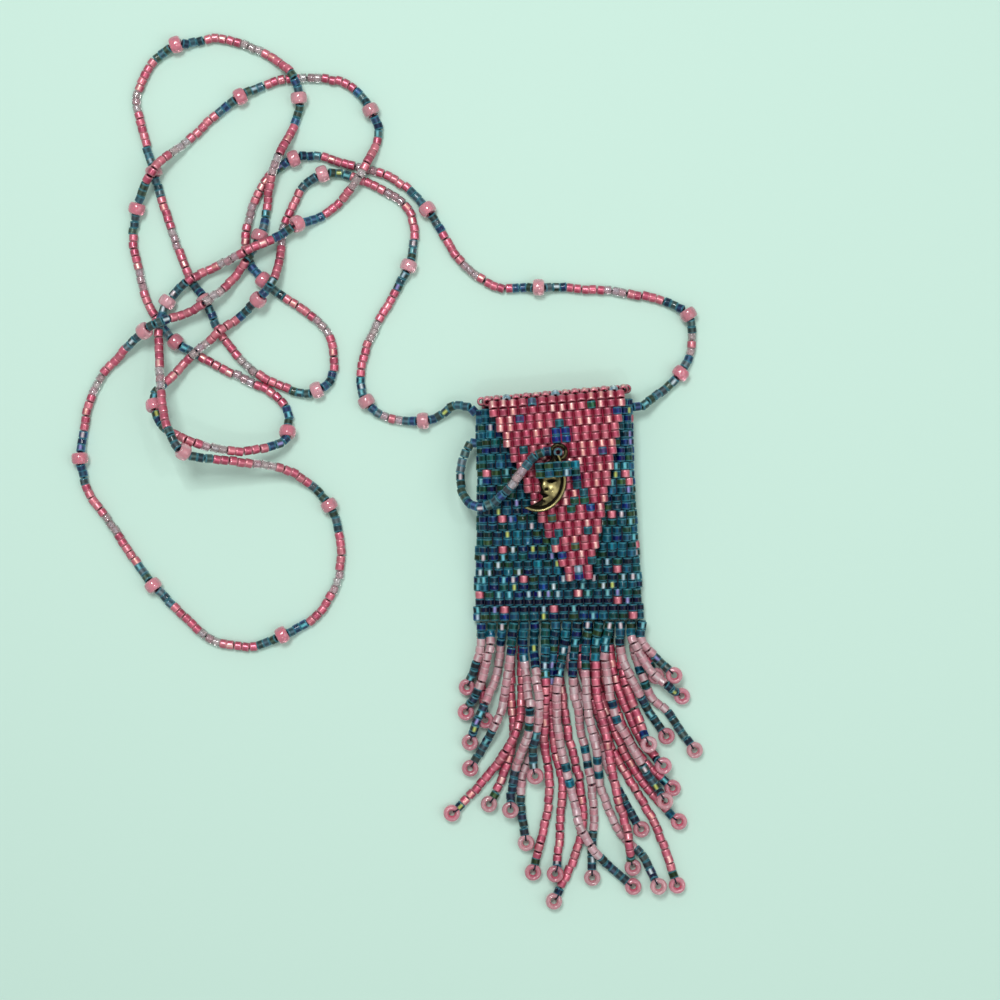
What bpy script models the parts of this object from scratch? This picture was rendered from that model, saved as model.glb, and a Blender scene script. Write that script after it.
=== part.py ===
# Beaded medicine bag, lying on its back with its front up: a flattened tube of cylinder beads,
# open at its top (+Y), with a pointed flap, a moon charm in its keeper, a fringe and a neck strand.
# Metres, +Z up. The origin is on the back face, which rests on Z = 0.

import math

import bmesh
import bpy
import numpy as np
from mathutils import Matrix, Vector

# Beads
BEAD_D = 0.0016
ROW_PITCH = 0.00134
COLUMN_PITCH = 0.00172
RING_BEAD_D = 0.0030
RING_BEAD_LONG = 0.0020
RING_BEAD_HOLE = 0.0011
CLEARANCE = 0.0003

# Pouch: bead columns stand in stacked pairs, and each pair-row is half a column beside the last
PAIR = 2 * ROW_PITCH
COLUMNS = 34
PAIR_ROWS = 14
POUCH_DROP = 0.0195
POUCH_BOTTOM_Y = -POUCH_DROP
POUCH_TOP_Y = POUCH_BOTTOM_Y + PAIR_ROWS * PAIR
MOUTH_THICKNESS = 0.0058
SEAM_THICKNESS = 0.0017
FULL_DEPTH = 0.30
FLOOR_DEPTH = 0.90
TOP_LEAN = math.radians(4.3)
BOTTOM_LEAN = math.radians(0.7)
SIDE_DRIFT = 0.0009
GROOVE_DEEP = 0.00045
BEAD_FACE = 0.27
PAIR_GROOVE = 0.00012
WALL_INSIDE = 0.0007
INNER_RINGS = 6

# Flap: rows of paired beads, from the back wall's rim over the fold and down the front to the tip
FLAP_ROWS = (15, 16, 15, 14, 13, 12, 11, 10, 9, 8, 7, 6, 5, 4, 3)
FLAP_PITCH = 0.00168
FLAP_LOW_BEND = 0.0012
FLAP_HIGH_BEND = 0.0016
FLAP_TURN = math.radians(5.0)
FLAP_DRIFT = 0.00012
FLAP_BENT_ROWS = 4
FLAP_EASE = 0.0008
HEADING_STEP = 0.0003
LOW_BEND_STEPS = 6
HIGH_BEND_STEPS = 8
FLAP_LINE_STEPS = 60

# Keeper strap: an arch of two bead rows over the charm's upper horn
KEEPER_BEADS = 5
KEEPER_PITCH = 0.00150
KEEPER_THICK = 0.0014
KEEPER_FULLNESS = 1.9
KEEPER_TURN = math.radians(4.0)

# Moon charm
CHARM_THICK = 0.0016
CHARM_EDGE = 0.0003
LOOP_TUBE = 0.00036
LOOP_R = 0.00125
CHARM_SPAN = 0.008
CHARM_RISE = 0.0095

# Beaded strings
TUBE_D = 0.0014
RULING = 0.0007
SLOPE = 0.42
OWN_BEADS = 4
SIDE_GAP = 0.00003
CROSSING_GAP = 0.00035
STEP_LONG = 0.0100
FRINGE_STEP_LONG = 0.0060
STEP_TURN = math.radians(27)
ROUTE_STEPS = 24
HEIGHT_PASSES = 14
RING_ENTRY = 0.36
NECK_END_RISE = 0.0036

# The outlines and routes below are in picture points: PX_PER_M of them to a metre at the table, seen from
# VIEW_HEIGHT above VIEW_CENTRE. ORIGIN_PX is the picture point of the origin.
PX_PER_M = 5700.0
VIEW_HEIGHT = 0.350
VIEW_CENTRE = (500.0, 500.0)
ORIGIN_PX = (556.0, 508.0)

# Moon charm: its outer and inner edges, the middle of its loop, and the middle of its keeper
CHARM_OUTER = ((523.5, 508), (532, 511.5), (542, 512), (552, 508), (560, 500), (565, 490),
               (566.5, 480), (565, 470), (562, 461), (560, 455))
CHARM_INNER = ((553, 455), (550, 460), (545, 463), (542, 468), (543.5, 471), (541, 474),
               (538.5, 480), (541, 483), (540, 486), (541.5, 489), (540, 493), (543, 497),
               (540, 501), (533, 505))
LOOP_PX = (558.5, 452)
KEEPER_PX = (557.5, 469.5)
CHARM_MIDDLE_PX = (545, 484)

# Neck strand: the points of its route, in a new row from each large bead on.
NECK_ROWS = (
    ((471, 408), (454, 406), (437, 418)),
    ((423, 421), (407, 421), (394, 419), (380, 414)),
    ((366, 402), (361, 385), (364, 355), (378, 322), (391, 300), (400, 283)),
    ((409, 267), (413, 247), (414, 226), (406, 206), (388, 193), (362, 180), (341, 174)),
    ((323, 175), (303, 187), (292, 209), (283, 231), (281, 257), (274, 283)),
    ((259, 301), (240, 317), (217, 336), (192, 357), (171, 381), (158, 395)),
    ((159, 408), (168, 427), (189, 439), (215, 448), (247, 452), (272, 447), (287, 441)),
    ((289, 432), (286, 407), (264, 388), (229, 372), (192, 352)),
    ((176, 342), (160, 324), (147, 300), (139, 270), (133, 241)),
    ((138, 209), (148, 186), (164, 163), (189, 141), (208, 122), (222, 110)),
    ((240, 97), (261, 87), (285, 79), (317, 78), (345, 83), (363, 97)),
    ((371, 111), (379, 134), (370, 159), (356, 184), (333, 208), (317, 219)),
    ((298, 225), (278, 239), (256, 249), (235, 259), (212, 270), (189, 282)),
    ((168, 302), (161, 328), (162, 354), (165, 377), (168, 401), (175, 427)),
    ((192, 454), (224, 460), (254, 464), (283, 468), (310, 484)),
    ((330, 505), (338, 530), (341, 560), (333, 592), (312, 620)),
    ((282, 635), (259, 646), (236, 646), (210, 639), (188, 620), (168, 600)),
    ((154, 585), (138, 565), (121, 539), (104, 514), (88, 491)),
    ((81, 458), (84, 431), (89, 403), (103, 375), (126, 350)),
    ((147, 332), (165, 323), (196, 311), (219, 295), (239, 273), (254, 251)),
    ((261, 237), (266, 216), (269, 195), (275, 169), (288, 141), (298, 115)),
    ((300, 99), (293, 76), (271, 57), (245, 45), (217, 38), (192, 43)),
    ((177, 46), (156, 59), (142, 82), (136, 101), (142, 127), (148, 152)),
    ((155, 172), (160, 194), (169, 222), (180, 254), (192, 282)),
    ((206, 301), (215, 323), (231, 348), (253, 371), (281, 386), (301, 393)),
    ((317, 391), (331, 380), (334, 360), (328, 333), (305, 311), (277, 292)),
    ((264, 280), (247, 259), (246, 234), (253, 206), (265, 181), (281, 166)),
    ((294, 159), (318, 156), (347, 164), (383, 174), (406, 187)),
    ((427, 210), (443, 234), (457, 257), (478, 277), (501, 288), (528, 287)),
    ((539, 288), (563, 287), (585, 289), (614, 291), (636, 295), (658, 299), (676, 307)),
    ((688, 314), (692, 336), (689, 358)),
    ((680, 373), (666, 388), (650, 400), (638, 408)),
)
# From the large bead of this number on, the strand has this rank. Where two stretches cross, the
# one of higher rank lies over the other.
NECK_RANKS = ((0, 0), (4, 1), (7, 0), (9, 1), (10, 0), (11, 4), (13, 2), (14, 0), (19, 3), (22, 0))

# Charm leash, from the pouch's left edge to the charm's loop: picture x, y and height in mm
LEASH_ROUTE = (
    (471.5, 440, 3.8), (466.5, 450, 4.0), (462.5, 461, 4.0), (460.5, 473, 4.1), (460, 485, 4.5),
    (463.5, 496, 5.6), (471.5, 505, 7.3), (481, 508, 8.3), (489, 506, 8.6), (496, 501, 8.9),
    (503, 494.5, 9.6), (510, 487, 10.2), (517, 478.5, 10.7), (523, 470, 11.0), (529.5, 461, 11.2),
    (537, 454.5, 11.4), (545, 451.5, 11.5), (551.5, 451.5, 11.5),
)

# Fringe strands, left to right: bead column, rank, route from the pouch's bottom, and end ring.
# A strand of higher rank lies over those of lower rank that it meets, and the front ones over all.
FRINGE_COLUMNS = 16
FRINGE_SPAN_PX = (481.0, 642.0)
FRINGE_TOP_PX = 621.0
FRONT_STRANDS = (
    (0, 30, ((480.5, 649), (477, 662), (473, 676)), (466.8, 687)),
    (1, 31, ((490, 646), (486, 664), (480, 685), (471, 703)), (466, 712)),
    (2, 32, ((500, 651), (497, 676), (487, 699), (477, 721), (473, 733)), (470, 742)),
    (3, 33, ((511, 650), (507, 678), (502, 708), (493, 729), (483, 749), (476, 759)),
     (470, 768)),
    (4, 40, ((523, 652), (527, 682), (530, 710), (527, 735), (518, 762), (512, 785),
             (511, 799)), (510.4, 809)),
    (5, 39, ((534, 652), (536.5, 680), (539, 704), (537, 729), (533, 747), (532, 764)),
     (535, 775)),
    (6, 27, ((545, 652), (545.5, 690), (544, 727), (545, 750), (549, 776), (548, 808),
             (541, 848)), (533, 872)),
    (7, 26, ((553, 652), (550, 688), (552, 727), (557, 760), (563, 786), (561, 812),
             (560, 840), (559, 861)), (555, 872.6)),
    (8, 38, ((564, 645), (557, 689), (558, 730), (565, 765), (573, 797), (581, 829),
             (601, 859), (623, 880)), (633, 886.5)),
    (9, 37, ((574.5, 650), (573, 682), (578, 710), (582, 735), (588, 765), (593, 793),
             (594, 820), (592.5, 850), (592, 865)), (592, 877.4)),
    (10, 24, ((586, 650), (586, 685), (590, 722), (597, 752), (600, 782), (609, 811),
              (621, 835), (642, 856), (652, 874)), (658, 885)),
    (11, 36, ((595.5, 650), (596, 680), (599, 706), (606, 735), (611, 765), (617, 795),
              (627, 830), (630, 855)), (632.5, 867)),
    (12, 37, ((605, 652), (607, 675), (611, 699), (618, 722), (631, 745), (643, 766),
              (656, 786)), (664, 799)),
    (13, 35, ((620.5, 650), (628, 672), (638, 690), (648, 710), (660, 727)), (666, 736)),
    (14, 34, ((632, 640), (640, 654), (650, 670), (668, 688)), (681.5, 696)),
    (15, 33, ((641, 638), (650, 652), (662, 663)), (673.6, 674.4)),
)
BACK_STRANDS = (
    (0, 0, ((480.5, 650), (481.5, 680), (484, 708)), (485.5, 720)),
    (3, 20, ((511, 650), (511, 690), (513, 740), (507, 764), (501, 782), (494, 796)),
     (489, 804)),
    (4, 21, ((521.5, 655), (521.5, 690), (520, 718), (508, 747), (488, 775), (470, 800)),
     (452, 813)),
    (6, 10, ((545, 652), (544, 690), (540, 725), (529, 758), (521, 785), (521, 807),
             (525, 829)), (526, 842.5)),
    (7, 23, ((557, 650), (562, 690), (567, 727), (575, 762), (581, 792), (583, 818),
             (577, 850), (570, 876)), (554, 901)),
    (8, 11, ((567, 645), (574, 680), (589, 720), (600, 745), (609, 770), (620, 793),
             (632, 816)), (641, 829)),
    (9, 12, ((579, 650), (585, 680), (600, 720), (610, 745), (627, 776), (645, 806),
             (659, 833), (669, 865)), (677, 885)),
    (10, 13, ((590, 650), (595.5, 680), (610, 720), (620, 743), (640, 779), (665, 811)),
     (678.5, 821)),
    (11, 14, ((600, 650), (605.5, 680), (620.5, 720), (632, 745), (648, 765), (660, 776)),
     (672.5, 788)),
    (12, 15, ((610.5, 650), (615.5, 680), (631, 720), (643, 743), (653, 755)),
     (662.6, 764.5)),
    (13, 16, ((620, 650), (624.5, 680), (632, 702), (641, 727)), (648, 743)),
    (14, 17, ((633, 645), (641, 673), (652, 699), (665, 709), (676, 724), (688, 741)),
     (694.5, 750)),
    (15, 5, ((641, 645), (647, 659), (652, 668)), (656, 676)),
)


# Picture points and smooth routes
def spot(px, py, z):
    """The world point at height z that is seen at the picture point."""
    shrink = 1 - z / VIEW_HEIGHT
    x = (px - VIEW_CENTRE[0]) * shrink + VIEW_CENTRE[0] - ORIGIN_PX[0]
    y = (py - VIEW_CENTRE[1]) * shrink + VIEW_CENTRE[1] - ORIGIN_PX[1]
    return np.array([x / PX_PER_M, -y / PX_PER_M, z])


def lengths_along(points):
    """The length of a line up to each of its points."""
    return np.concatenate([[0], np.cumsum(np.linalg.norm(np.diff(points, axis=0), axis=1))])


def smooth_route(points, spacing, marks=0):
    """Evenly spaced samples of a smooth curve through the points, whose last values may be marks."""
    points = np.array(points, float)
    places = points.shape[1] - marks
    ends = np.vstack([2 * points[0] - points[1], points, 2 * points[-1] - points[-2]])
    chords = np.linalg.norm(np.diff(ends[:, :places], axis=0), axis=1)
    knots = np.concatenate([[0], np.cumsum(np.sqrt(chords))])
    found = []
    for i in range(1, len(ends) - 2):
        t = np.linspace(knots[i], knots[i + 1], ROUTE_STEPS, endpoint=False)[:, None]
        p0, p1, p2, p3 = ends[i - 1:i + 3]
        t0, t1, t2, t3 = knots[i - 1:i + 3]
        a1 = ((t1 - t) * p0 + (t - t0) * p1) / (t1 - t0)
        a2 = ((t2 - t) * p1 + (t - t1) * p2) / (t2 - t1)
        a3 = ((t3 - t) * p2 + (t - t2) * p3) / (t3 - t2)
        b1 = ((t2 - t) * a1 + (t - t0) * a2) / (t2 - t0)
        b2 = ((t3 - t) * a2 + (t - t1) * a3) / (t3 - t1)
        found.append(((t2 - t) * b1 + (t - t1) * b2) / (t2 - t1))
    fine = np.vstack(found + [points[-1:]])
    along = lengths_along(fine[:, :places])
    count = max(int(round(along[-1] / spacing)), 2)
    wanted = np.linspace(0, along[-1], count + 1)
    return np.column_stack([np.interp(wanted, along, fine[:, k]) for k in range(points.shape[1])])


def thinned(path, longest):
    """The few points of a fine path that keep its bends: a run ends at a set length or turn."""
    steps = np.diff(path, axis=0)
    lengths = np.linalg.norm(steps, axis=1)
    heads = steps / lengths[:, None]
    kept, run, last = [0], 0.0, heads[0]
    for i in range(1, len(path) - 1):
        run += lengths[i - 1]
        turn = math.acos(max(-1.0, min(1.0, float(heads[i] @ last))))
        if run >= longest or turn >= STEP_TURN:
            kept.append(i)
            run, last = 0.0, heads[i]
    if np.linalg.norm(path[kept[-1]] - path[-1]) < TUBE_D and len(kept) > 1:
        kept.pop()
    return path[kept + [len(path) - 1]]


# Heights of the strings: each lies on the table or on those of lower rank that it crosses
class Strand:
    """A string's samples in plan, each with its rank, radius and lowest height."""

    def __init__(self, plan, rank, low):
        self.plan = plan
        self.rank = rank
        self.radius = np.full(len(plan), BEAD_D / 2)
        self.low = low
        self.ring = 0

    def add_ring(self, centre, rank):
        """The end ring lies flat: seven spots across it share one height."""
        turns = np.arange(6) * math.pi / 3
        reach = RING_BEAD_D / 4
        spots = [centre] + [centre + reach * np.array([math.cos(a), math.sin(a)]) for a in turns]
        self.ring = len(spots)
        self.plan = np.vstack([self.plan, spots])
        self.rank = np.concatenate([self.rank, np.full(self.ring, rank)])
        self.radius = np.concatenate([self.radius, np.full(self.ring, RING_BEAD_LONG / 2)])
        self.low = np.concatenate([self.low, np.full(self.ring, RING_BEAD_LONG / 2)])


def laid_heights(strands, spacing):
    """The heights of all samples, raised until each string clears what it lies over."""
    plan = np.vstack([s.plan for s in strands])
    rank = np.concatenate([s.rank for s in strands])
    radius = np.concatenate([s.radius for s in strands])
    low = np.concatenate([s.low for s in strands])
    height = low.copy()
    apart = np.hypot(plan[:, None, 0] - plan[None, :, 0], plan[:, None, 1] - plan[None, :, 1])
    reach = radius[:, None] + radius[None, :] + SIDE_GAP
    owner = np.concatenate([np.full(len(s.plan), i) for i, s in enumerate(strands)])
    along = np.concatenate([np.arange(len(s.plan)) * spacing for s in strands])
    near = abs(along[:, None] - along) < OWN_BEADS * BEAD_D
    same = (owner[:, None] == owner) & near
    over, under = np.nonzero((apart < reach) & (rank[:, None] > rank) & ~same)
    share = apart[over, under] / reach[over, under]
    lift = reach[over, under] * np.sqrt(1 - share ** 2) + CROSSING_GAP * (1 - share)
    for _ in range(HEIGHT_PASSES):
        np.maximum.at(height, over, height[under] + lift)
        start = 0
        for s in strands:
            cord = slice(start, start + len(s.plan) - s.ring)
            ring = slice(cord.stop, start + len(s.plan))
            part = height[cord]
            for i in range(1, len(part)):
                part[i] = max(part[i], part[i - 1] - SLOPE * spacing)
            for i in range(len(part) - 2, -1, -1):
                part[i] = max(part[i], part[i + 1] - SLOPE * spacing)
            if s.ring:
                height[ring] = height[ring].max()
            start = ring.stop
    result, start = [], 0
    for s in strands:
        result.append(height[start:start + len(s.plan)])
        start += len(s.plan)
    return result


# Meshes, curves and materials
def clear_scene():
    for item in list(bpy.data.objects):
        bpy.data.objects.remove(item, do_unlink=True)


def material(name, colour, roughness, metallic=0.0):
    made = bpy.data.materials.new(name)
    made.use_nodes = True
    shader = made.node_tree.nodes["Principled BSDF"]
    shader.inputs["Base Color"].default_value = (*colour, 1.0)
    shader.inputs["Roughness"].default_value = roughness
    shader.inputs["Metallic"].default_value = metallic
    return made


def mesh_object(name, mesh, surface, collection):
    made = bpy.data.objects.new(name, mesh)
    collection.objects.link(made)
    mesh.materials.append(surface)
    return made


def from_bmesh(name, shape, surface, collection):
    bmesh.ops.recalc_face_normals(shape, faces=shape.faces[:])
    mesh = bpy.data.meshes.new(name)
    shape.to_mesh(mesh)
    shape.free()
    return mesh_object(name, mesh, surface, collection)


def tube(name, points, surface, collection):
    """A plain round tube along the points, with filled ends."""
    curve = bpy.data.curves.new(name, "CURVE")
    curve.dimensions = "3D"
    curve.bevel_depth = TUBE_D / 2
    curve.bevel_resolution = 2
    curve.use_fill_caps = True
    spline = curve.splines.new("POLY")
    spline.points.add(len(points) - 1)
    for point, place in zip(spline.points, points):
        point.co = (*place, 1.0)
    curve.materials.append(surface)
    made = bpy.data.objects.new(name, curve)
    collection.objects.link(made)
    return made


def as_mesh(curve_object):
    """The curve as a welded mesh object of the same name."""
    graph = bpy.context.evaluated_depsgraph_get()
    mesh = bpy.data.meshes.new_from_object(curve_object.evaluated_get(graph))
    shape = bmesh.new()
    shape.from_mesh(mesh)
    bmesh.ops.remove_doubles(shape, verts=shape.verts[:], dist=1e-6)
    shape.to_mesh(mesh)
    shape.free()
    name, collection = curve_object.name, curve_object.users_collection[0]
    matrix = curve_object.matrix_world.copy()
    bpy.data.objects.remove(curve_object, do_unlink=True)
    made = bpy.data.objects.new(name, mesh)
    made.matrix_world = matrix
    collection.objects.link(made)
    return made


def joined(base, other, helpers):
    """Unites the other solid with the base, and keeps it as a hidden helper."""
    for owner in list(other.users_collection):
        owner.objects.unlink(other)
    helpers.objects.link(other)
    other.hide_render = True
    other.display_type = "WIRE"
    union = base.modifiers.new("union_" + other.name, "BOOLEAN")
    union.operation = "UNION"
    union.solver = "EXACT"
    union.object = other


# Pouch
def depth_share(y):
    return min(max((POUCH_TOP_Y - y) / (POUCH_TOP_Y - POUCH_BOTTOM_Y), 0.0), 1.0)


def mid_thickness(y):
    """The distance between the middles of the front and back walls: full, then thinning down."""
    share = min(max((depth_share(y) - FULL_DEPTH) / (1 - FULL_DEPTH), 0.0), 1.0)
    ease = share * share * (3 - 2 * share)
    return MOUTH_THICKNESS + (SEAM_THICKNESS - MOUTH_THICKNESS) * ease


def front_surface(y):
    """The height of the pouch's front face."""
    return mid_thickness(y) + BEAD_D


def leaned(x, y):
    """Rows lean at the top of the pouch and are level at its bottom, and it drifts sideways."""
    share = depth_share(y)
    lean = TOP_LEAN + (BOTTOM_LEAN - TOP_LEAN) * share
    return x + SIDE_DRIFT * (share - 0.5), y + x * math.tan(lean)


def section_point(y, along, outward):
    """A point of the flattened tube's wall: its middle line, at a share of the way round."""
    thick = mid_thickness(y)
    around = COLUMNS * COLUMN_PITCH
    flat = (around - math.pi * thick) / 2
    half = thick / 2
    along = along % around
    if along < flat / 2:
        x, z, nx, nz = along, -half, 0.0, -1.0
    elif along < flat / 2 + math.pi * half:
        angle = (along - flat / 2) / half - math.pi / 2
        nx, nz = math.cos(angle), math.sin(angle)
        x, z = flat / 2 + half * nx, half * nz
    elif along < 1.5 * flat + math.pi * half:
        x, z, nx, nz = flat + math.pi * half - along, half, 0.0, 1.0
    elif along < 1.5 * flat + 2 * math.pi * half:
        angle = (along - 1.5 * flat - math.pi * half) / half + math.pi / 2
        nx, nz = math.cos(angle), math.sin(angle)
        x, z = -flat / 2 + half * nx, half * nz
    else:
        x, z, nx, nz = along - around, -half, 0.0, -1.0
    place_x, place_y = leaned(x + outward * nx, y)
    return Vector((place_x, place_y, z + outward * nz + half + BEAD_D / 2))


def bead_ring(y, phase):
    """One outline round the pouch, with a flat face on each bead and a groove between beads."""
    points = []
    for column in range(COLUMNS):
        centre = (column + phase) * COLUMN_PITCH
        groove = BEAD_D / 2 - GROOVE_DEEP
        points.append(section_point(y, centre - COLUMN_PITCH / 2, groove))
        points.append(section_point(y, centre - BEAD_FACE * COLUMN_PITCH, BEAD_D / 2))
        points.append(section_point(y, centre + BEAD_FACE * COLUMN_PITCH, BEAD_D / 2))
    return points


def build_pouch(surface, collection):
    shape = bmesh.new()
    outer = []
    for row in range(PAIR_ROWS):
        phase = 0.5 if (PAIR_ROWS - 1 - row) % 2 == 0 else 0.0
        top = POUCH_TOP_Y - row * PAIR
        for y in (top - PAIR_GROOVE, top - PAIR + PAIR_GROOVE):
            y = min(max(y, POUCH_BOTTOM_Y), POUCH_TOP_Y)
            outer.append([shape.verts.new(p) for p in bead_ring(y, phase)])
    first_phase = 0.5 if (PAIR_ROWS - 1) % 2 == 0 else 0.0
    floor_y = POUCH_TOP_Y - FLOOR_DEPTH * (POUCH_TOP_Y - POUCH_BOTTOM_Y)
    inner = []
    for y in np.linspace(POUCH_TOP_Y - PAIR_GROOVE, floor_y, INNER_RINGS):
        ring = [section_point(y, (c + first_phase) * COLUMN_PITCH, -WALL_INSIDE)
                for c in range(COLUMNS)]
        inner.append([shape.verts.new(p) for p in ring])
    for rings in (outer, inner):
        for ring, below in zip(rings, rings[1:]):
            for i in range(len(ring)):
                j = (i + 1) % len(ring)
                shape.faces.new((ring[i], ring[j], below[j], below[i]))
        shape.faces.new(rings[-1])
    rim, lip = outer[0], inner[0]
    for c in range(COLUMNS):
        after = (c + 1) % COLUMNS
        left, right, groove = rim[3 * c + 1], rim[3 * c + 2], rim[3 * after]
        shape.faces.new((rim[3 * c], left, lip[c]))
        shape.faces.new((left, right, lip[c]))
        shape.faces.new((right, groove, lip[c]))
        shape.faces.new((groove, lip[after], lip[c]))
    return from_bmesh("pouch_body", shape, surface, collection)


# Flap
def flap_profile():
    """The middle line of the flap in Y and Z, from the back wall's rim to the tip, with headings."""
    top_y = POUCH_TOP_Y + CLEARANCE
    low, high = FLAP_LOW_BEND, FLAP_HIGH_BEND
    crest = front_surface(POUCH_TOP_Y) + CLEARANCE + BEAD_D / 2
    points = [(top_y + low * math.sin(a), BEAD_D / 2 + low * (1 - math.cos(a)))
              for a in np.linspace(0, math.pi / 2, LOW_BEND_STEPS)]
    points += [(top_y + low - high * (1 - math.cos(a)), crest - high * (1 - math.sin(a)))
               for a in np.linspace(0, math.pi / 2, HIGH_BEND_STEPS)]
    for y in np.linspace(top_y + low - high - FLAP_EASE, POUCH_BOTTOM_Y, FLAP_LINE_STEPS):
        points.append((y, front_surface(y) + CLEARANCE + BEAD_D / 2))
    return np.array(points)


def flap_frame(profile, along):
    """The middle point and the outward normal of the flap's line at a length along it."""
    lengths = lengths_along(profile)
    y, z = (np.interp(along, lengths, profile[:, k]) for k in (0, 1))
    step = HEADING_STEP
    ahead = [np.interp(along + step, lengths, profile[:, k]) for k in (0, 1)]
    behind = [np.interp(max(along - step, 0.0), lengths, profile[:, k]) for k in (0, 1)]
    heading = np.array(ahead) - np.array(behind)
    heading /= np.linalg.norm(heading)
    return y, z, heading[1], -heading[0]


def flap_row_outline(beads, pitch):
    """The section across one row: bead faces and grooves outside, and a flat inside."""
    half = beads * pitch / 2
    face = BEAD_D / 2
    outline = [(-half, -face)]
    for bead in range(beads):
        centre = (bead + 0.5) * pitch - half
        outline.append((centre - pitch / 2, face - GROOVE_DEEP))
        outline.append((centre - BEAD_FACE * pitch, face))
        outline.append((centre + BEAD_FACE * pitch, face))
    outline += [(half, face - GROOVE_DEEP), (half, -face)]
    return outline


def turned_flap(x, y, z):
    """Turns a point of the straight flap about the middle of the fold."""
    turn = Matrix.Rotation(FLAP_TURN, 4, "Z")
    pivot = Vector((leaned(0, POUCH_TOP_Y)[0], POUCH_TOP_Y, 0))
    return pivot + turn @ (Vector((x, y, z)) - Vector((0, POUCH_TOP_Y, 0)))


def flap_ring(shape, profile, outline, along, shift):
    """The section's points at a length along the flap."""
    y, z, normal_y, normal_z = flap_frame(profile, along)
    return [shape.verts.new(turned_flap(x + shift, y + out * normal_y, z + out * normal_z))
            for x, out in outline]


def join_rows(shape, ring, outline, after, next_outline):
    """Faces between two sections of unlike bead counts, taken from left to right by their x."""
    i, j = 0, 0
    while i < len(ring) - 1 or j < len(after) - 1:
        step_first = j == len(after) - 1 or (
            i < len(ring) - 1 and outline[i + 1][0] <= next_outline[j + 1][0])
        if step_first:
            shape.faces.new((ring[i], ring[i + 1], after[j]))
            i += 1
        else:
            shape.faces.new((ring[i], after[j + 1], after[j]))
            j += 1
    shape.faces.new((ring[-1], ring[0], after[0], after[-1]))


def build_flap(surface, collection):
    profile = flap_profile()
    shape = bmesh.new()
    last, last_outline = None, None
    for row, beads in enumerate(FLAP_ROWS):
        outline = flap_row_outline(beads, FLAP_PITCH)
        start, stop = row * PAIR + PAIR_GROOVE, (row + 1) * PAIR - PAIR_GROOVE
        steps = 3 if row < FLAP_BENT_ROWS else 1
        for along in np.linspace(start if row else 0.0, stop, steps + 1):
            ring = flap_ring(shape, profile, outline, along, FLAP_DRIFT * row)
            if last is None:
                shape.faces.new(ring)
            else:
                join_rows(shape, last, last_outline, ring, outline)
            last, last_outline = ring, outline
    shape.faces.new(last)
    return from_bmesh("flap", shape, surface, collection)


# Moon charm and its keeper
def charm_frame():
    """The charm lies on the flap: its matrix at the middle of its plate, its height and its slope."""
    middle = spot(*CHARM_MIDDLE_PX, CHARM_RISE)
    slope_a, slope_b = middle[1] + CHARM_SPAN / 2, middle[1] - CHARM_SPAN / 2
    slope = (front_surface(slope_a) - front_surface(slope_b)) / (slope_a - slope_b)
    under = front_surface(slope_a) + CLEARANCE + BEAD_D - slope * (slope_a - middle[1])
    height = under + CLEARANCE + CHARM_THICK / 2
    tilt = Matrix.Rotation(math.atan(slope), 4, "X")
    return Matrix.Translation((middle[0], middle[1], height)) @ tilt, height, slope


def build_charm(surface, collection, helpers):
    matrix, height, _ = charm_frame()
    to_plate = matrix.inverted()

    def flat(px, py):
        local = to_plate @ Vector(spot(px, py, height))
        return local.x, local.y

    curve = bpy.data.curves.new("moon_charm", "CURVE")
    curve.dimensions = "2D"
    curve.fill_mode = "BOTH"
    curve.extrude = CHARM_THICK / 2 - CHARM_EDGE
    curve.bevel_depth = CHARM_EDGE
    curve.bevel_resolution = 0
    curve.offset = -CHARM_EDGE
    outline = [flat(*p) for p in CHARM_OUTER + CHARM_INNER]
    spline = curve.splines.new("POLY")
    spline.points.add(len(outline) - 1)
    for point, place in zip(spline.points, outline):
        point.co = (*place, 0.0, 1.0)
    spline.use_cyclic_u = True
    plate = bpy.data.objects.new("moon_charm", curve)
    collection.objects.link(plate)
    plate.matrix_world = matrix
    bpy.context.view_layer.update()
    charm = as_mesh(plate)
    charm.data.materials.clear()
    charm.data.materials.append(surface)
    loop_x, loop_y = flat(*LOOP_PX)
    bpy.ops.mesh.primitive_torus_add(major_segments=18, minor_segments=8, major_radius=LOOP_R,
                                     minor_radius=LOOP_TUBE)
    loop = bpy.context.object
    loop.name = "charm_loop"
    loop.matrix_world = matrix @ Matrix.Translation((loop_x, loop_y, 0))
    joined(charm, loop, helpers)
    return charm


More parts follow.
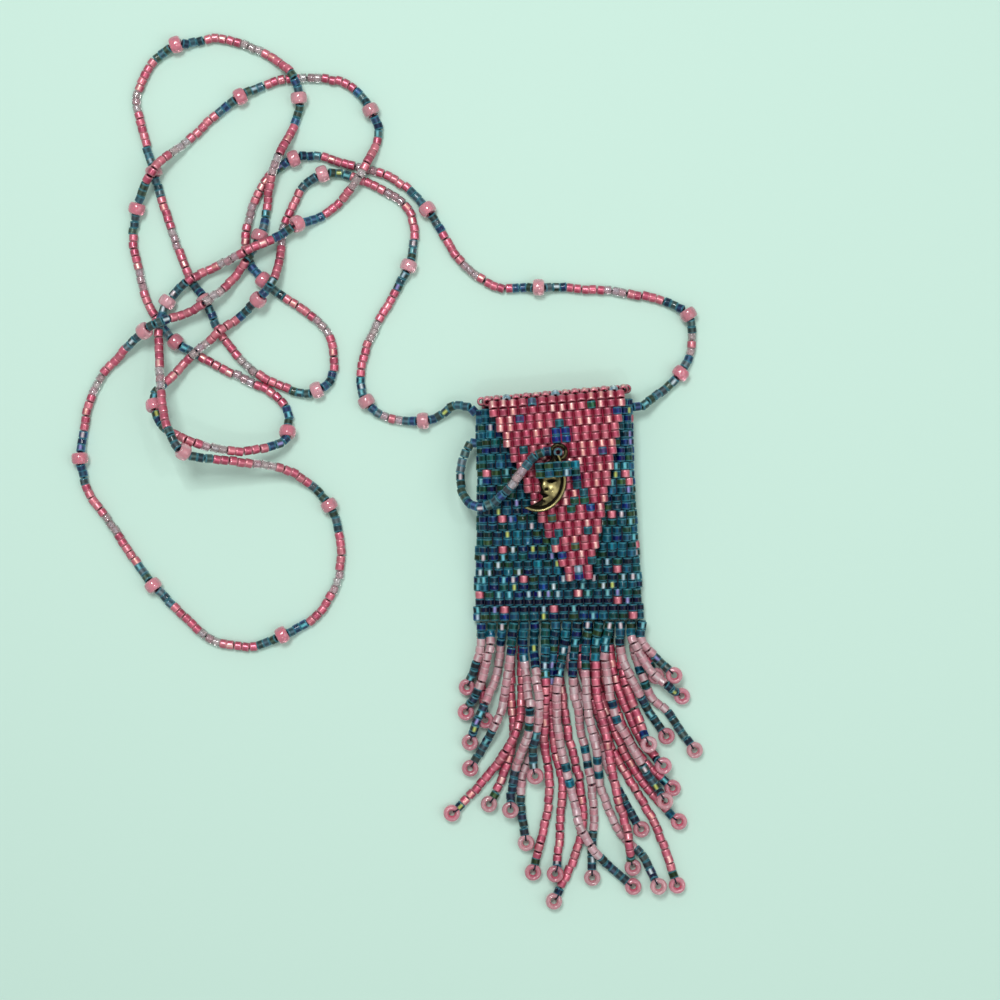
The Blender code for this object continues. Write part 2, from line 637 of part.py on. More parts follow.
def build_keeper(surface, collection):
    """An arch of beads whose two ends rest on the flap, on each side of the charm."""
    matrix, height, slope = charm_frame()
    middle = spot(*KEEPER_PX, height)
    foot = front_surface(middle[1]) + 2 * CLEARANCE + BEAD_D
    past_charm = middle[1] + math.copysign(ROW_PITCH, slope) - matrix.translation.y
    crown = height + slope * past_charm + CHARM_THICK / 2 + 2 * CLEARANCE
    half = KEEPER_BEADS * KEEPER_PITCH / 2
    rise = crown - foot
    count = KEEPER_BEADS * 3
    shape = bmesh.new()
    rings = []
    for y in (-ROW_PITCH + PAIR_GROOVE, ROW_PITCH - PAIR_GROOVE):
        top, under = [], []
        for i in range(count + 1):
            share = i / count
            x = (2 * share - 1) * half
            arch = rise * min(1.0, KEEPER_FULLNESS * math.sin(math.pi * share))
            face = 0.0 if i % 3 else GROOVE_DEEP
            top.append(Vector((x, y, foot + arch + KEEPER_THICK - face)))
            under.append(Vector((x, y, foot + arch)))
        rings.append([shape.verts.new(p) for p in top + under[::-1]])
    for i in range(len(rings[0])):
        j = (i + 1) % len(rings[0])
        shape.faces.new((rings[0][i], rings[0][j], rings[1][j], rings[1][i]))
    shape.faces.new(rings[0])
    shape.faces.new(rings[1])
    keeper = from_bmesh("charm_keeper", shape, surface, collection)
    keeper.location = (middle[0], middle[1], 0)
    keeper.rotation_euler = (0, 0, KEEPER_TURN)
    return keeper


# Neck strand
def neck_plan():
    """The strand's samples in plan, with the number of the large bead behind each."""
    points = [(*spot(px, py, BEAD_D / 2)[:2], row + (k / len(rows)))
              for row, rows in enumerate(NECK_ROWS) for k, (px, py) in enumerate(rows)]
    return smooth_route(points, RULING, marks=1)


def build_neck(surface, collection):
    samples = neck_plan()
    plan, number = samples[:, :2], samples[:, 2]
    rank = np.zeros(len(plan))
    for start, value in NECK_RANKS:
        rank[number >= start] = value
    low = np.full(len(plan), BEAD_D / 2)
    low[0], low[-1] = NECK_END_RISE, NECK_END_RISE
    strand = Strand(plan, rank, low)
    height = laid_heights([strand], RULING)[0]
    path = np.column_stack([plan, height])
    return tube("necklace_strand", thinned(path, STEP_LONG), surface, collection)


# Fringe
def strand_top(column, front):
    """Where a fringe strand leaves the pouch's bottom row."""
    share = column / (FRINGE_COLUMNS - 1)
    px = FRINGE_SPAN_PX[0] + share * (FRINGE_SPAN_PX[1] - FRINGE_SPAN_PX[0])
    z = BEAD_D / 2 + (SEAM_THICKNESS if front else 0.0)
    x = spot(px, FRINGE_TOP_PX, z)[0]
    return np.array([x, leaned(x, POUCH_BOTTOM_Y)[1] - CLEARANCE]), z


def fringe_strands():
    """Each strand's name and samples, the back layer first."""
    made = []
    for front, rows in ((False, BACK_STRANDS), (True, FRONT_STRANDS)):
        for column, order, route, ring in rows:
            top, z = strand_top(column, front)
            plan = [top] + [spot(px, py, z)[:2] for px, py in route]
            centre = spot(*ring, RING_BEAD_LONG / 2)[:2]
            toward = plan[-1] - centre
            plan[-1] = centre + toward / np.linalg.norm(toward) * (RING_BEAD_D * RING_ENTRY)
            plan = smooth_route(plan, RULING)
            low = np.full(len(plan), BEAD_D / 2)
            low[:2] = z
            strand = Strand(plan, np.full(len(plan), order), low)
            strand.add_ring(centre, order)
            side = "front" if front else "back"
            made.append((f"fringe_{side}_{column + 1:02d}", strand, centre))
    return made


def build_fringe(surface, collection, helpers):
    strands = fringe_strands()
    heights = laid_heights([s for _, s, _ in strands], RULING)
    for (name, strand, centre), height in zip(strands, heights):
        count = len(strand.plan) - strand.ring
        path = np.column_stack([strand.plan[:count], height[:count]])
        path[-1, 2] = height[-1]
        body = as_mesh(tube(name, thinned(path, FRINGE_STEP_LONG), surface, collection))
        bpy.ops.mesh.primitive_torus_add(
            major_segments=8, minor_segments=5,
            major_radius=(RING_BEAD_D + RING_BEAD_HOLE) / 4,
            minor_radius=(RING_BEAD_D - RING_BEAD_HOLE) / 4,
        )
        ring = bpy.context.object
        ring.name = name + "_ring"
        stretch = 2 * RING_BEAD_LONG / (RING_BEAD_D - RING_BEAD_HOLE)
        ring.data.transform(Matrix.Diagonal((1, 1, stretch, 1)))
        ring.location = (*centre, height[-1])
        joined(body, ring, helpers)


def build_leash(surface, collection):
    points = [spot(px, py, mm / 1000) for px, py, mm in LEASH_ROUTE]
    path = smooth_route(points, RULING)
    return tube("charm_leash", thinned(path, FRINGE_STEP_LONG / 2), surface, collection)


def main():
    clear_scene()
    bag = bpy.data.collections.new("beaded_medicine_bag")
    helpers = bpy.data.collections.new("joined_pieces")
    for collection in (bag, helpers):
        bpy.context.scene.collection.children.link(collection)
    helpers.hide_render = True
    teal = material("teal_glass_beads", (0.05, 0.16, 0.20), 0.25)
    rose = material("rose_glass_beads", (0.55, 0.12, 0.20), 0.35)
    pale = material("strung_glass_beads", (0.62, 0.30, 0.36), 0.3)
    brass = material("old_brass", (0.42, 0.33, 0.16), 0.38, 1.0)
    build_pouch(teal, bag)
    build_flap(rose, bag)
    build_charm(brass, bag, helpers)
    build_keeper(teal, bag)
    build_leash(teal, bag)
    build_neck(rose, bag)
    build_fringe(pale, bag, helpers)


main()
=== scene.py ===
import math

import bpy
import numpy as np
from mathutils import Matrix, Vector
from mathutils.geometry import delaunay_2d_cdt


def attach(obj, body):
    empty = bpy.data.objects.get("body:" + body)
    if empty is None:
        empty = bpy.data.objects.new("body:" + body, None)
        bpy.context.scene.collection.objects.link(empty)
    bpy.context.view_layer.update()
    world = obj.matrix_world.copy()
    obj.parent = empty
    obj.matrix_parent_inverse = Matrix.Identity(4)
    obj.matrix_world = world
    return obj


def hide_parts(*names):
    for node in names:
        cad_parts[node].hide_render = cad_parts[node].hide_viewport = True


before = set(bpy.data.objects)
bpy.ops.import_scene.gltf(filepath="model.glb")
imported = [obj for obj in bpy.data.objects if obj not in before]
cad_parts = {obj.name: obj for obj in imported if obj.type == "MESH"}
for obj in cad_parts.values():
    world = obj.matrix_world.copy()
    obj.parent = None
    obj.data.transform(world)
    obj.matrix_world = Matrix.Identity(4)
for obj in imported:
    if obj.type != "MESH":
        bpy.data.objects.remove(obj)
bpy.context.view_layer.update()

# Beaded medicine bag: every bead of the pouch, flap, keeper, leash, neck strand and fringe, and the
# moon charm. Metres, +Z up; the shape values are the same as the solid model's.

chance = np.random.default_rng(7)

# Beads
BEAD_D = 0.0016
ROW_PITCH = 0.00134
COLUMN_PITCH = 0.00172
RING_BEAD_D = 0.0030
RING_BEAD_LONG = 0.0020
RING_BEAD_HOLE = 0.0011
CLEARANCE = 0.0003

# Pouch: bead columns stand in stacked pairs, and each pair-row is half a column beside the last
PAIR = 2 * ROW_PITCH
COLUMNS = 34
PAIR_ROWS = 14
# How wide the front or the back wall would be if it were laid flat
WALL = COLUMNS * COLUMN_PITCH / 2
POUCH_DROP = 0.0195
POUCH_BOTTOM_Y = -POUCH_DROP
POUCH_TOP_Y = POUCH_BOTTOM_Y + PAIR_ROWS * PAIR
MOUTH_THICKNESS = 0.0058
SEAM_THICKNESS = 0.0017
FULL_DEPTH = 0.30
TOP_LEAN = math.radians(4.3)
BOTTOM_LEAN = math.radians(0.7)
SIDE_DRIFT = 0.0009

# Flap: rows of paired beads, from the back wall's rim over the fold and down the front to the tip
FLAP_ROWS = (15, 16, 15, 14, 13, 12, 11, 10, 9, 8, 7, 6, 5, 4, 3)
FLAP_PITCH = 0.00168
FLAP_LOW_BEND = 0.0012
FLAP_HIGH_BEND = 0.0016
FLAP_TURN = math.radians(5.0)
FLAP_DRIFT = 0.00012
FLAP_EASE = 0.0008
HEADING_STEP = 0.0003
LOW_BEND_STEPS = 6
HIGH_BEND_STEPS = 8
FLAP_LINE_STEPS = 60

# Keeper strap: an arch of two bead rows over the charm's upper horn
KEEPER_BEADS = 5
KEEPER_PITCH = 0.00150
KEEPER_THICK = 0.0014
KEEPER_FULLNESS = 1.9
KEEPER_TURN = math.radians(4.0)

# Moon charm
CHARM_THICK = 0.0016
LOOP_TUBE = 0.00036
LOOP_R = 0.00125
CHARM_SPAN = 0.008
CHARM_RISE = 0.0095

# Beaded strings
RULING = 0.0007
SLOPE = 0.42
OWN_BEADS = 4
SIDE_GAP = 0.00003
CROSSING_GAP = 0.00035
ROUTE_STEPS = 24
HEIGHT_PASSES = 14
RING_ENTRY = 0.36
NECK_END_RISE = 0.0036

# The outlines and routes below are in picture points: PX_PER_M of them to a metre at the table, seen from
# VIEW_HEIGHT above VIEW_CENTRE. ORIGIN_PX is the picture point of the origin.
PX_PER_M = 5700.0
VIEW_HEIGHT = 0.350
VIEW_CENTRE = (500.0, 500.0)
ORIGIN_PX = (556.0, 508.0)

# Moon charm: its outer and inner edges, the middle of its loop, and the middle of its keeper
CHARM_OUTER = ((523.5, 508), (532, 511.5), (542, 512), (552, 508), (560, 500), (565, 490),
               (566.5, 480), (565, 470), (562, 461), (560, 455))
CHARM_INNER = ((553, 455), (550, 460), (545, 463), (542, 468), (543.5, 471), (541, 474),
               (538.5, 480), (541, 483), (540, 486), (541.5, 489), (540, 493), (543, 497),
               (540, 501), (533, 505))
LOOP_PX = (558.5, 452)
KEEPER_PX = (557.5, 469.5)
CHARM_MIDDLE_PX = (545, 484)

# Neck strand: the points of its route, in a new row from each large bead on.
NECK_ROWS = (
    ((471, 408), (454, 406), (437, 418)),
    ((423, 421), (407, 421), (394, 419), (380, 414)),
    ((366, 402), (361, 385), (364, 355), (378, 322), (391, 300), (400, 283)),
    ((409, 267), (413, 247), (414, 226), (406, 206), (388, 193), (362, 180), (341, 174)),
    ((323, 175), (303, 187), (292, 209), (283, 231), (281, 257), (274, 283)),
    ((259, 301), (240, 317), (217, 336), (192, 357), (171, 381), (158, 395)),
    ((159, 408), (168, 427), (189, 439), (215, 448), (247, 452), (272, 447), (287, 441)),
    ((289, 432), (286, 407), (264, 388), (229, 372), (192, 352)),
    ((176, 342), (160, 324), (147, 300), (139, 270), (133, 241)),
    ((138, 209), (148, 186), (164, 163), (189, 141), (208, 122), (222, 110)),
    ((240, 97), (261, 87), (285, 79), (317, 78), (345, 83), (363, 97)),
    ((371, 111), (379, 134), (370, 159), (356, 184), (333, 208), (317, 219)),
    ((298, 225), (278, 239), (256, 249), (235, 259), (212, 270), (189, 282)),
    ((168, 302), (161, 328), (162, 354), (165, 377), (168, 401), (175, 427)),
    ((192, 454), (224, 460), (254, 464), (283, 468), (310, 484)),
    ((330, 505), (338, 530), (341, 560), (333, 592), (312, 620)),
    ((282, 635), (259, 646), (236, 646), (210, 639), (188, 620), (168, 600)),
    ((154, 585), (138, 565), (121, 539), (104, 514), (88, 491)),
    ((81, 458), (84, 431), (89, 403), (103, 375), (126, 350)),
    ((147, 332), (165, 323), (196, 311), (219, 295), (239, 273), (254, 251)),
    ((261, 237), (266, 216), (269, 195), (275, 169), (288, 141), (298, 115)),
    ((300, 99), (293, 76), (271, 57), (245, 45), (217, 38), (192, 43)),
    ((177, 46), (156, 59), (142, 82), (136, 101), (142, 127), (148, 152)),
    ((155, 172), (160, 194), (169, 222), (180, 254), (192, 282)),
    ((206, 301), (215, 323), (231, 348), (253, 371), (281, 386), (301, 393)),
    ((317, 391), (331, 380), (334, 360), (328, 333), (305, 311), (277, 292)),
    ((264, 280), (247, 259), (246, 234), (253, 206), (265, 181), (281, 166)),
    ((294, 159), (318, 156), (347, 164), (383, 174), (406, 187)),
    ((427, 210), (443, 234), (457, 257), (478, 277), (501, 288), (528, 287)),
    ((539, 288), (563, 287), (585, 289), (614, 291), (636, 295), (658, 299), (676, 307)),
    ((688, 314), (692, 336), (689, 358)),
    ((680, 373), (666, 388), (650, 400), (638, 408)),
)
# From the large bead of this number on, the strand has this rank. Where two stretches cross, the
# one of higher rank lies over the other.
NECK_RANKS = ((0, 0), (4, 1), (7, 0), (9, 1), (10, 0), (11, 4), (13, 2), (14, 0), (19, 3), (22, 0))

# Charm leash, from the pouch's left edge to the charm's loop: picture x, y and height in mm
LEASH_ROUTE = (
    (471.5, 440, 3.8), (466.5, 450, 4.0), (462.5, 461, 4.0), (460.5, 473, 4.1), (460, 485, 4.5),
    (463.5, 496, 5.6), (471.5, 505, 7.3), (481, 508, 8.3), (489, 506, 8.6), (496, 501, 8.9),
    (503, 494.5, 9.6), (510, 487, 10.2), (517, 478.5, 10.7), (523, 470, 11.0), (529.5, 461, 11.2),
    (537, 454.5, 11.4), (545, 451.5, 11.5), (551.5, 451.5, 11.5),
)

# Fringe strands, left to right: bead column, rank, route from the pouch's bottom, and last the ring.
# A strand of higher rank lies over those of lower rank that it meets, and the front ones over all.
FRINGE_COLUMNS = 16
FRINGE_SPAN_PX = (481.0, 642.0)
FRINGE_TOP_PX = 621.0
FRONT_STRANDS = (
    (0, 30, (480.5, 649), (477, 662), (473, 676), (466.8, 687)),
    (1, 31, (490, 646), (486, 664), (480, 685), (471, 703), (466, 712)),
    (2, 32, (500, 651), (497, 676), (487, 699), (477, 721), (473, 733), (470, 742)),
    (3, 33, (511, 650), (507, 678), (502, 708), (493, 729), (483, 749), (476, 759), (470, 768)),
    (4, 40, (523, 652), (527, 682), (530, 710), (527, 735), (518, 762), (512, 785), (511, 799),
     (510.4, 809)),
    (5, 39, (534, 652), (536.5, 680), (539, 704), (537, 729), (533, 747), (532, 764), (535, 775)),
    (6, 27, (545, 652), (545.5, 690), (544, 727), (545, 750), (549, 776), (548, 808), (541, 848),
     (533, 872)),
    (7, 26, (553, 652), (550, 688), (552, 727), (557, 760), (563, 786), (561, 812), (560, 840),
     (559, 861), (555, 872.6)),
    (8, 38, (564, 645), (557, 689), (558, 730), (565, 765), (573, 797), (581, 829), (601, 859),
     (623, 880), (633, 886.5)),
    (9, 37, (574.5, 650), (573, 682), (578, 710), (582, 735), (588, 765), (593, 793), (594, 820),
     (592.5, 850), (592, 865), (592, 877.4)),
    (10, 24, (586, 650), (586, 685), (590, 722), (597, 752), (600, 782), (609, 811), (621, 835),
     (642, 856), (652, 874), (658, 885)),
    (11, 36, (595.5, 650), (596, 680), (599, 706), (606, 735), (611, 765), (617, 795), (627, 830),
     (630, 855), (632.5, 867)),
    (12, 37, (605, 652), (607, 675), (611, 699), (618, 722), (631, 745), (643, 766), (656, 786),
     (664, 799)),
    (13, 35, (620.5, 650), (628, 672), (638, 690), (648, 710), (660, 727), (666, 736)),
    (14, 34, (632, 640), (640, 654), (650, 670), (668, 688), (681.5, 696)),
    (15, 33, (641, 638), (650, 652), (662, 663), (673.6, 674.4)),
)
BACK_STRANDS = (
    (0, 0, (480.5, 650), (481.5, 680), (484, 708), (485.5, 720)),
    (3, 20, (511, 650), (511, 690), (513, 740), (507, 764), (501, 782), (494, 796), (489, 804)),
    (4, 21, (521.5, 655), (521.5, 690), (520, 718), (508, 747), (488, 775), (470, 800), (452, 813)),
    (6, 10, (545, 652), (544, 690), (540, 725), (529, 758), (521, 785), (521, 807), (525, 829),
     (526, 842.5)),
    (7, 23, (557, 650), (562, 690), (567, 727), (575, 762), (581, 792), (583, 818), (577, 850),
     (570, 876), (554, 901)),
    (8, 11, (567, 645), (574, 680), (589, 720), (600, 745), (609, 770), (620, 793), (632, 816),
     (641, 829)),
    (9, 12, (579, 650), (585, 680), (600, 720), (610, 745), (627, 776), (645, 806), (659, 833),
     (669, 865), (677, 885)),
    (10, 13, (590, 650), (595.5, 680), (610, 720), (620, 743), (640, 779), (665, 811), (678.5, 821)),
    (11, 14, (600, 650), (605.5, 680), (620.5, 720), (632, 745), (648, 765), (660, 776), (672.5, 788)),
    (12, 15, (610.5, 650), (615.5, 680), (631, 720), (643, 743), (653, 755), (662.6, 764.5)),
    (13, 16, (620, 650), (624.5, 680), (632, 702), (641, 727), (648, 743)),
    (14, 17, (633, 645), (641, 673), (652, 699), (665, 709), (676, 724), (688, 741), (694.5, 750)),
    (15, 5, (641, 645), (647, 659), (652, 668), (656, 676)),
)


# Picture points and smooth routes
def spot(px, py, z):
    """The world point at height z that is seen at the picture point."""
    shrink = 1 - z / VIEW_HEIGHT
    x = (px - VIEW_CENTRE[0]) * shrink + VIEW_CENTRE[0] - ORIGIN_PX[0]
    y = (py - VIEW_CENTRE[1]) * shrink + VIEW_CENTRE[1] - ORIGIN_PX[1]
    return np.array([x / PX_PER_M, -y / PX_PER_M, z])


def lengths_along(points):
    """The length of a line up to each of its points."""
    return np.concatenate([[0], np.cumsum(np.linalg.norm(np.diff(points, axis=0), axis=1))])


def unit(line):
    return line / np.linalg.norm(line)


def at_length(path, along):
    """The point of a path at a length along it."""
    lengths = lengths_along(path)
    return np.array([np.interp(along, lengths, values) for values in path.T])


def smooth_route(points, spacing, marks=0):
    """Evenly spaced samples of a smooth curve through the points, whose last values may be marks."""
    points = np.array(points, float)
    places = points.shape[1] - marks
    ends = np.vstack([2 * points[0] - points[1], points, 2 * points[-1] - points[-2]])
    chords = np.linalg.norm(np.diff(ends[:, :places], axis=0), axis=1)
    knots = np.concatenate([[0], np.cumsum(np.sqrt(chords))])
    found = []
    for i in range(1, len(ends) - 2):
        t = np.linspace(knots[i], knots[i + 1], ROUTE_STEPS, endpoint=False)[:, None]
        near, at = ends[i - 1:i + 3], knots[i - 1:i + 3]
        for spans in (((0, 1), (1, 2), (2, 3)), ((0, 2), (1, 3)), ((1, 2),)):
            near = [((at[b] - t) * near[j] + (t - at[a]) * near[j + 1]) / (at[b] - at[a])
                    for j, (a, b) in enumerate(spans)]
        found.append(near[0])
    fine = np.vstack(found + [points[-1:]])
    along = lengths_along(fine[:, :places])
    count = max(int(round(along[-1] / spacing)), 2)
    wanted = np.linspace(0, along[-1], count + 1)
    return np.column_stack([np.interp(wanted, along, fine[:, k]) for k in range(points.shape[1])])


# Heights of the strings: each lies on the table or on those of lower rank that it crosses
RING_SPOTS = 6


class Strand:
    """A string's samples in plan, each with its rank, radius and lowest height."""

    def __init__(self, plan, rank, low):
        self.plan, self.rank, self.low = plan, rank, low
        self.radius = np.full(len(plan), BEAD_D / 2)
        self.ring = 0

    def add_ring(self, centre, rank):
        """The end ring lies flat: its middle and the spots round it share one height."""
        turns = np.arange(RING_SPOTS) * 2 * math.pi / RING_SPOTS
        around = centre + RING_BEAD_D / 4 * np.column_stack([np.cos(turns), np.sin(turns)])
        self.plan = np.vstack([self.plan, centre, around])
        self.ring = 1 + len(turns)
        flat = np.full(self.ring, RING_BEAD_LONG / 2)
        self.rank = np.append(self.rank, np.full(self.ring, rank))
        self.radius, self.low = np.append(self.radius, flat), np.append(self.low, flat)


def laid_heights(strands):
    """The heights of all samples, raised until each string clears what it lies over."""
    counts = [len(s.plan) for s in strands]
    plan, rank, radius, height = (np.concatenate([getattr(s, values) for s in strands])
                                  for values in ("plan", "rank", "radius", "low"))
    owner = np.repeat(np.arange(len(strands)), counts)
    along = np.concatenate([np.arange(count) * RULING for count in counts])
    apart = np.hypot(plan[:, None, 0] - plan[:, 0], plan[:, None, 1] - plan[:, 1])
    reach = radius[:, None] + radius + SIDE_GAP
    same = (owner[:, None] == owner) & (abs(along[:, None] - along) < OWN_BEADS * BEAD_D)
    over, under = np.nonzero((apart < reach) & (rank[:, None] > rank) & ~same)
    share = apart[over, under] / reach[over, under]
    lift = reach[over, under] * np.sqrt(1 - share ** 2) + CROSSING_GAP * (1 - share)
    parts = np.split(height, np.cumsum(counts)[:-1])
    for _ in range(HEIGHT_PASSES):
        np.maximum.at(height, over, height[under] + lift)
        for strand, part in zip(strands, parts):
            # No stretch is steeper than SLOPE, looked at from either end
            count = len(part) - strand.ring
            fall = np.arange(count) * SLOPE * RULING
            risen = np.maximum.accumulate(part[:count] + fall) - 2 * fall
            part[:count] = np.maximum.accumulate(risen[::-1])[::-1] + fall
            part[count:] = part[count:].max(initial=0)
    return parts


# Pouch
def depth_share(y):
    return np.clip((POUCH_TOP_Y - y) / (POUCH_TOP_Y - POUCH_BOTTOM_Y), 0, 1)


def mid_thickness(y):
    """The distance between the middles of the front and back walls: full, then thinning down."""
    share = np.clip((depth_share(y) - FULL_DEPTH) / (1 - FULL_DEPTH), 0, 1)
    ease = share * share * (3 - 2 * share)
    return MOUTH_THICKNESS + (SEAM_THICKNESS - MOUTH_THICKNESS) * ease


def front_surface(y):
    """The height of the pouch's front face."""
    return mid_thickness(y) + BEAD_D


def leaned(x, y):
    """Rows lean at the pouch's top and are nearly level at its bottom, and it drifts sideways."""
    share = depth_share(y)
    lean = TOP_LEAN + (BOTTOM_LEAN - TOP_LEAN) * share
    return x + SIDE_DRIFT * (share - 0.5), y + x * math.tan(lean)


def section_point(y, along):
    """A point on the middle line of the flattened tube's wall, at a length of the way round it."""
    half = mid_thickness(y) / 2
    flat = WALL - math.pi * half
    front, along = divmod(along + flat / 2, WALL)
    turn = max(along - flat, 0) / half
    side = -1 if front % 2 else 1
    x = side * (min(along, flat) - flat / 2 + half * math.sin(turn))
    return Vector((*leaned(x, y), half - side * half * math.cos(turn) + BEAD_D / 2))


# Flap
def flap_profile():
    """The middle line of the flap in Y and Z, from the back wall's rim to the tip."""
    top_y = POUCH_TOP_Y + CLEARANCE
    low, high = FLAP_LOW_BEND, FLAP_HIGH_BEND
    crest = front_surface(POUCH_TOP_Y) + CLEARANCE + BEAD_D / 2
    points = [(top_y + low * math.sin(a), BEAD_D / 2 + low * (1 - math.cos(a)))
              for a in np.linspace(0, math.pi / 2, LOW_BEND_STEPS)]
    points += [(top_y + low - high * (1 - math.cos(a)), crest - high * (1 - math.sin(a)))
               for a in np.linspace(0, math.pi / 2, HIGH_BEND_STEPS)]
    for y in np.linspace(top_y + low - high - FLAP_EASE, POUCH_BOTTOM_Y, FLAP_LINE_STEPS):
        points.append((y, front_surface(y) + CLEARANCE + BEAD_D / 2))
    return np.array(points)


def flap_frame(profile, along):
    """The middle point and the outward normal of the flap's line at a length along it."""
    behind, ahead = max(along - HEADING_STEP, 0), along + HEADING_STEP
    y, z = unit(at_length(profile, ahead) - at_length(profile, behind))
    return *at_length(profile, along), z, -y


def turned_flap(x, y, z):
    """Turns a point of the straight flap about the middle of the fold."""
    turned = Matrix.Rotation(FLAP_TURN, 4, "Z") @ Vector((x, y - POUCH_TOP_Y, z))
    return np.array(turned) + (leaned(0, POUCH_TOP_Y)[0], POUCH_TOP_Y, 0)


# Moon charm and its keeper
def charm_frame():
    """The charm lies on the flap: its matrix at the middle of its plate, its height and its slope."""
    middle = spot(*CHARM_MIDDLE_PX, CHARM_RISE)
    upper, lower = middle[1] + CHARM_SPAN / 2, middle[1] - CHARM_SPAN / 2
    slope = (front_surface(upper) - front_surface(lower)) / (upper - lower)
    under = front_surface(upper) + CLEARANCE + BEAD_D - slope * (upper - middle[1])
    height = under + CLEARANCE + CHARM_THICK / 2
    tilt = Matrix.Rotation(math.atan(slope), 4, "X")
    return Matrix.Translation((middle[0], middle[1], height)) @ tilt, height, slope


# Neck strand
def neck_plan():
    """The strand's samples in plan, with the number of the large bead behind each."""
    points = [(*spot(px, py, BEAD_D / 2)[:2], number + k / len(row))
              for number, row in enumerate(NECK_ROWS) for k, (px, py) in enumerate(row)]
    return smooth_route(points, RULING, marks=1)


# Fringe
def strand_top(column, front):
    """Where a fringe strand leaves the pouch's bottom row."""
    share = column / (FRINGE_COLUMNS - 1)
    px = FRINGE_SPAN_PX[0] + share * (FRINGE_SPAN_PX[1] - FRINGE_SPAN_PX[0])
    z = BEAD_D / 2 + (SEAM_THICKNESS if front else 0.0)
    x = spot(px, FRINGE_TOP_PX, z)[0]
    return np.array([x, leaned(x, POUCH_BOTTOM_Y)[1] - CLEARANCE]), z


def fringe_strands():
    """Each strand's name and samples, the back layer first."""
    made = []
    for front, rows in ((False, BACK_STRANDS), (True, FRONT_STRANDS)):
        for column, order, *route, ring in rows:
            top, z = strand_top(column, front)
            plan = [top] + [spot(px, py, z)[:2] for px, py in route]
            centre = spot(*ring, RING_BEAD_LONG / 2)[:2]
            plan[-1] = centre + unit(plan[-1] - centre) * (RING_BEAD_D * RING_ENTRY)
            plan = smooth_route(plan, RULING)
            low = np.full(len(plan), BEAD_D / 2)
            low[:2] = z
            strand = Strand(plan, np.full(len(plan), order), low)
            strand.add_ring(centre, order)
            side = "front" if front else "back"
            made.append((f"fringe_{side}_{column + 1:02d}", strand, centre))
    return made


# Camera, floor and light
CAMERA_SENSOR = 36.0
IMAGE_POINTS = 1000
FLOOR_SIZE = 6.0
FLOOR_COLOUR = (203, 236, 222)
FLOOR_ROUGHNESS = 0.9
SKY_STRENGTH = 0.40
SPARKLES = ((-0.14, 0.10), (0.16, 0.12), (0.04, -0.18), (-0.05, 0.22))
SPARKLE_HIGH = 0.45
SPARKLE_SIZE = 0.018
SPARKLE_POWER = 0.10
# Name, place, size and power of each lamp
LAMPS = [("key", (-0.10, 0.22, 0.55), 0.16, 1.35), ("fill", (0.35, -0.10, 0.50), 0.40, 0.56)]
LAMPS += [(f"sparkle_{i}", (x, y, SPARKLE_HIGH), SPARKLE_SIZE, SPARKLE_POWER)
          for i, (x, y) in enumerate(SPARKLES, 1)]


def in_scene(name, data):
    made = bpy.data.objects.new(name, data)
    bpy.context.scene.collection.objects.link(made)
    return made


def make_camera():
    data = bpy.data.cameras.new("camera")
    data.sensor_width = CAMERA_SENSOR
    data.lens = CAMERA_SENSOR * VIEW_HEIGHT / (IMAGE_POINTS / PX_PER_M)
    camera = in_scene("camera", data)
    camera.location = (*spot(*VIEW_CENTRE, 0)[:2], VIEW_HEIGHT)
    bpy.context.scene.camera = camera


def make_stage():
    bpy.ops.mesh.primitive_plane_add(size=FLOOR_SIZE)
    floor = bpy.context.object
    floor.name = "floor"
    plain = Shading("floor")
    plain.fill(plain.shader, {"Base Color": (*srgb(*FLOOR_COLOUR), 1), "Roughness": FLOOR_ROUGHNESS})
    floor.data.materials.append(plain.material)
    world = bpy.data.worlds.new("world")
    world.use_nodes = True
    sky = world.node_tree.nodes["Background"].inputs
    sky["Color"].default_value, sky["Strength"].default_value = (1, 1, 1, 1), SKY_STRENGTH
    bpy.context.scene.world = world
    for name, place, size, power in LAMPS:
        data = bpy.data.lights.new(name, "AREA")
        data.size, data.energy = size, power
        lamp = in_scene(name, data)
        lamp.location = place
        lamp.rotation_euler = (-Vector(place)).to_track_quat("-Z", "Y").to_euler()
    bpy.context.scene.view_settings.view_transform = "Standard"


# Bead shapes: a closed outline turned about the hole, as points, faces and which faces are lining
BEAD_LONG = 0.00130
BEAD_HOLE = 0.00080
BEAD_EDGE = 0.00012
BEAD_RIM = 0.00032
SMALL_SIDES = 12
LARGE_SIDES = 28
OVAL_STEPS = 18
OVAL_FULLNESS = 0.85
INNER_SHARE = -0.75


def turned_shape(outline, lining, sides):
    count = len(outline)
    points = [(r * math.cos(a), r * math.sin(a), z)
              for a in np.arange(sides) * 2 * math.pi / sides for r, z in outline]
    faces = [(i * count + k, j * count + k, j * count + (k + 1) % count, i * count + (k + 1) % count)
             for i, j in zip(range(sides), (*range(1, sides), 0)) for k in range(count)]
    return np.array(points), np.array(faces), np.tile(lining, sides)


def small_bead():
    """A short tube with eased edges."""
    wide, half, hole = BEAD_D / 2, BEAD_LONG / 2, BEAD_HOLE / 2
    upper = [(wide, half - BEAD_RIM), (wide, half - BEAD_EDGE), (wide - BEAD_EDGE, half), (hole, half)]
    lower = [(r, -z) for r, z in reversed(upper)]
    outline = lower + upper
    return turned_shape(outline, [False] * (len(outline) - 1) + [True], SMALL_SIDES)


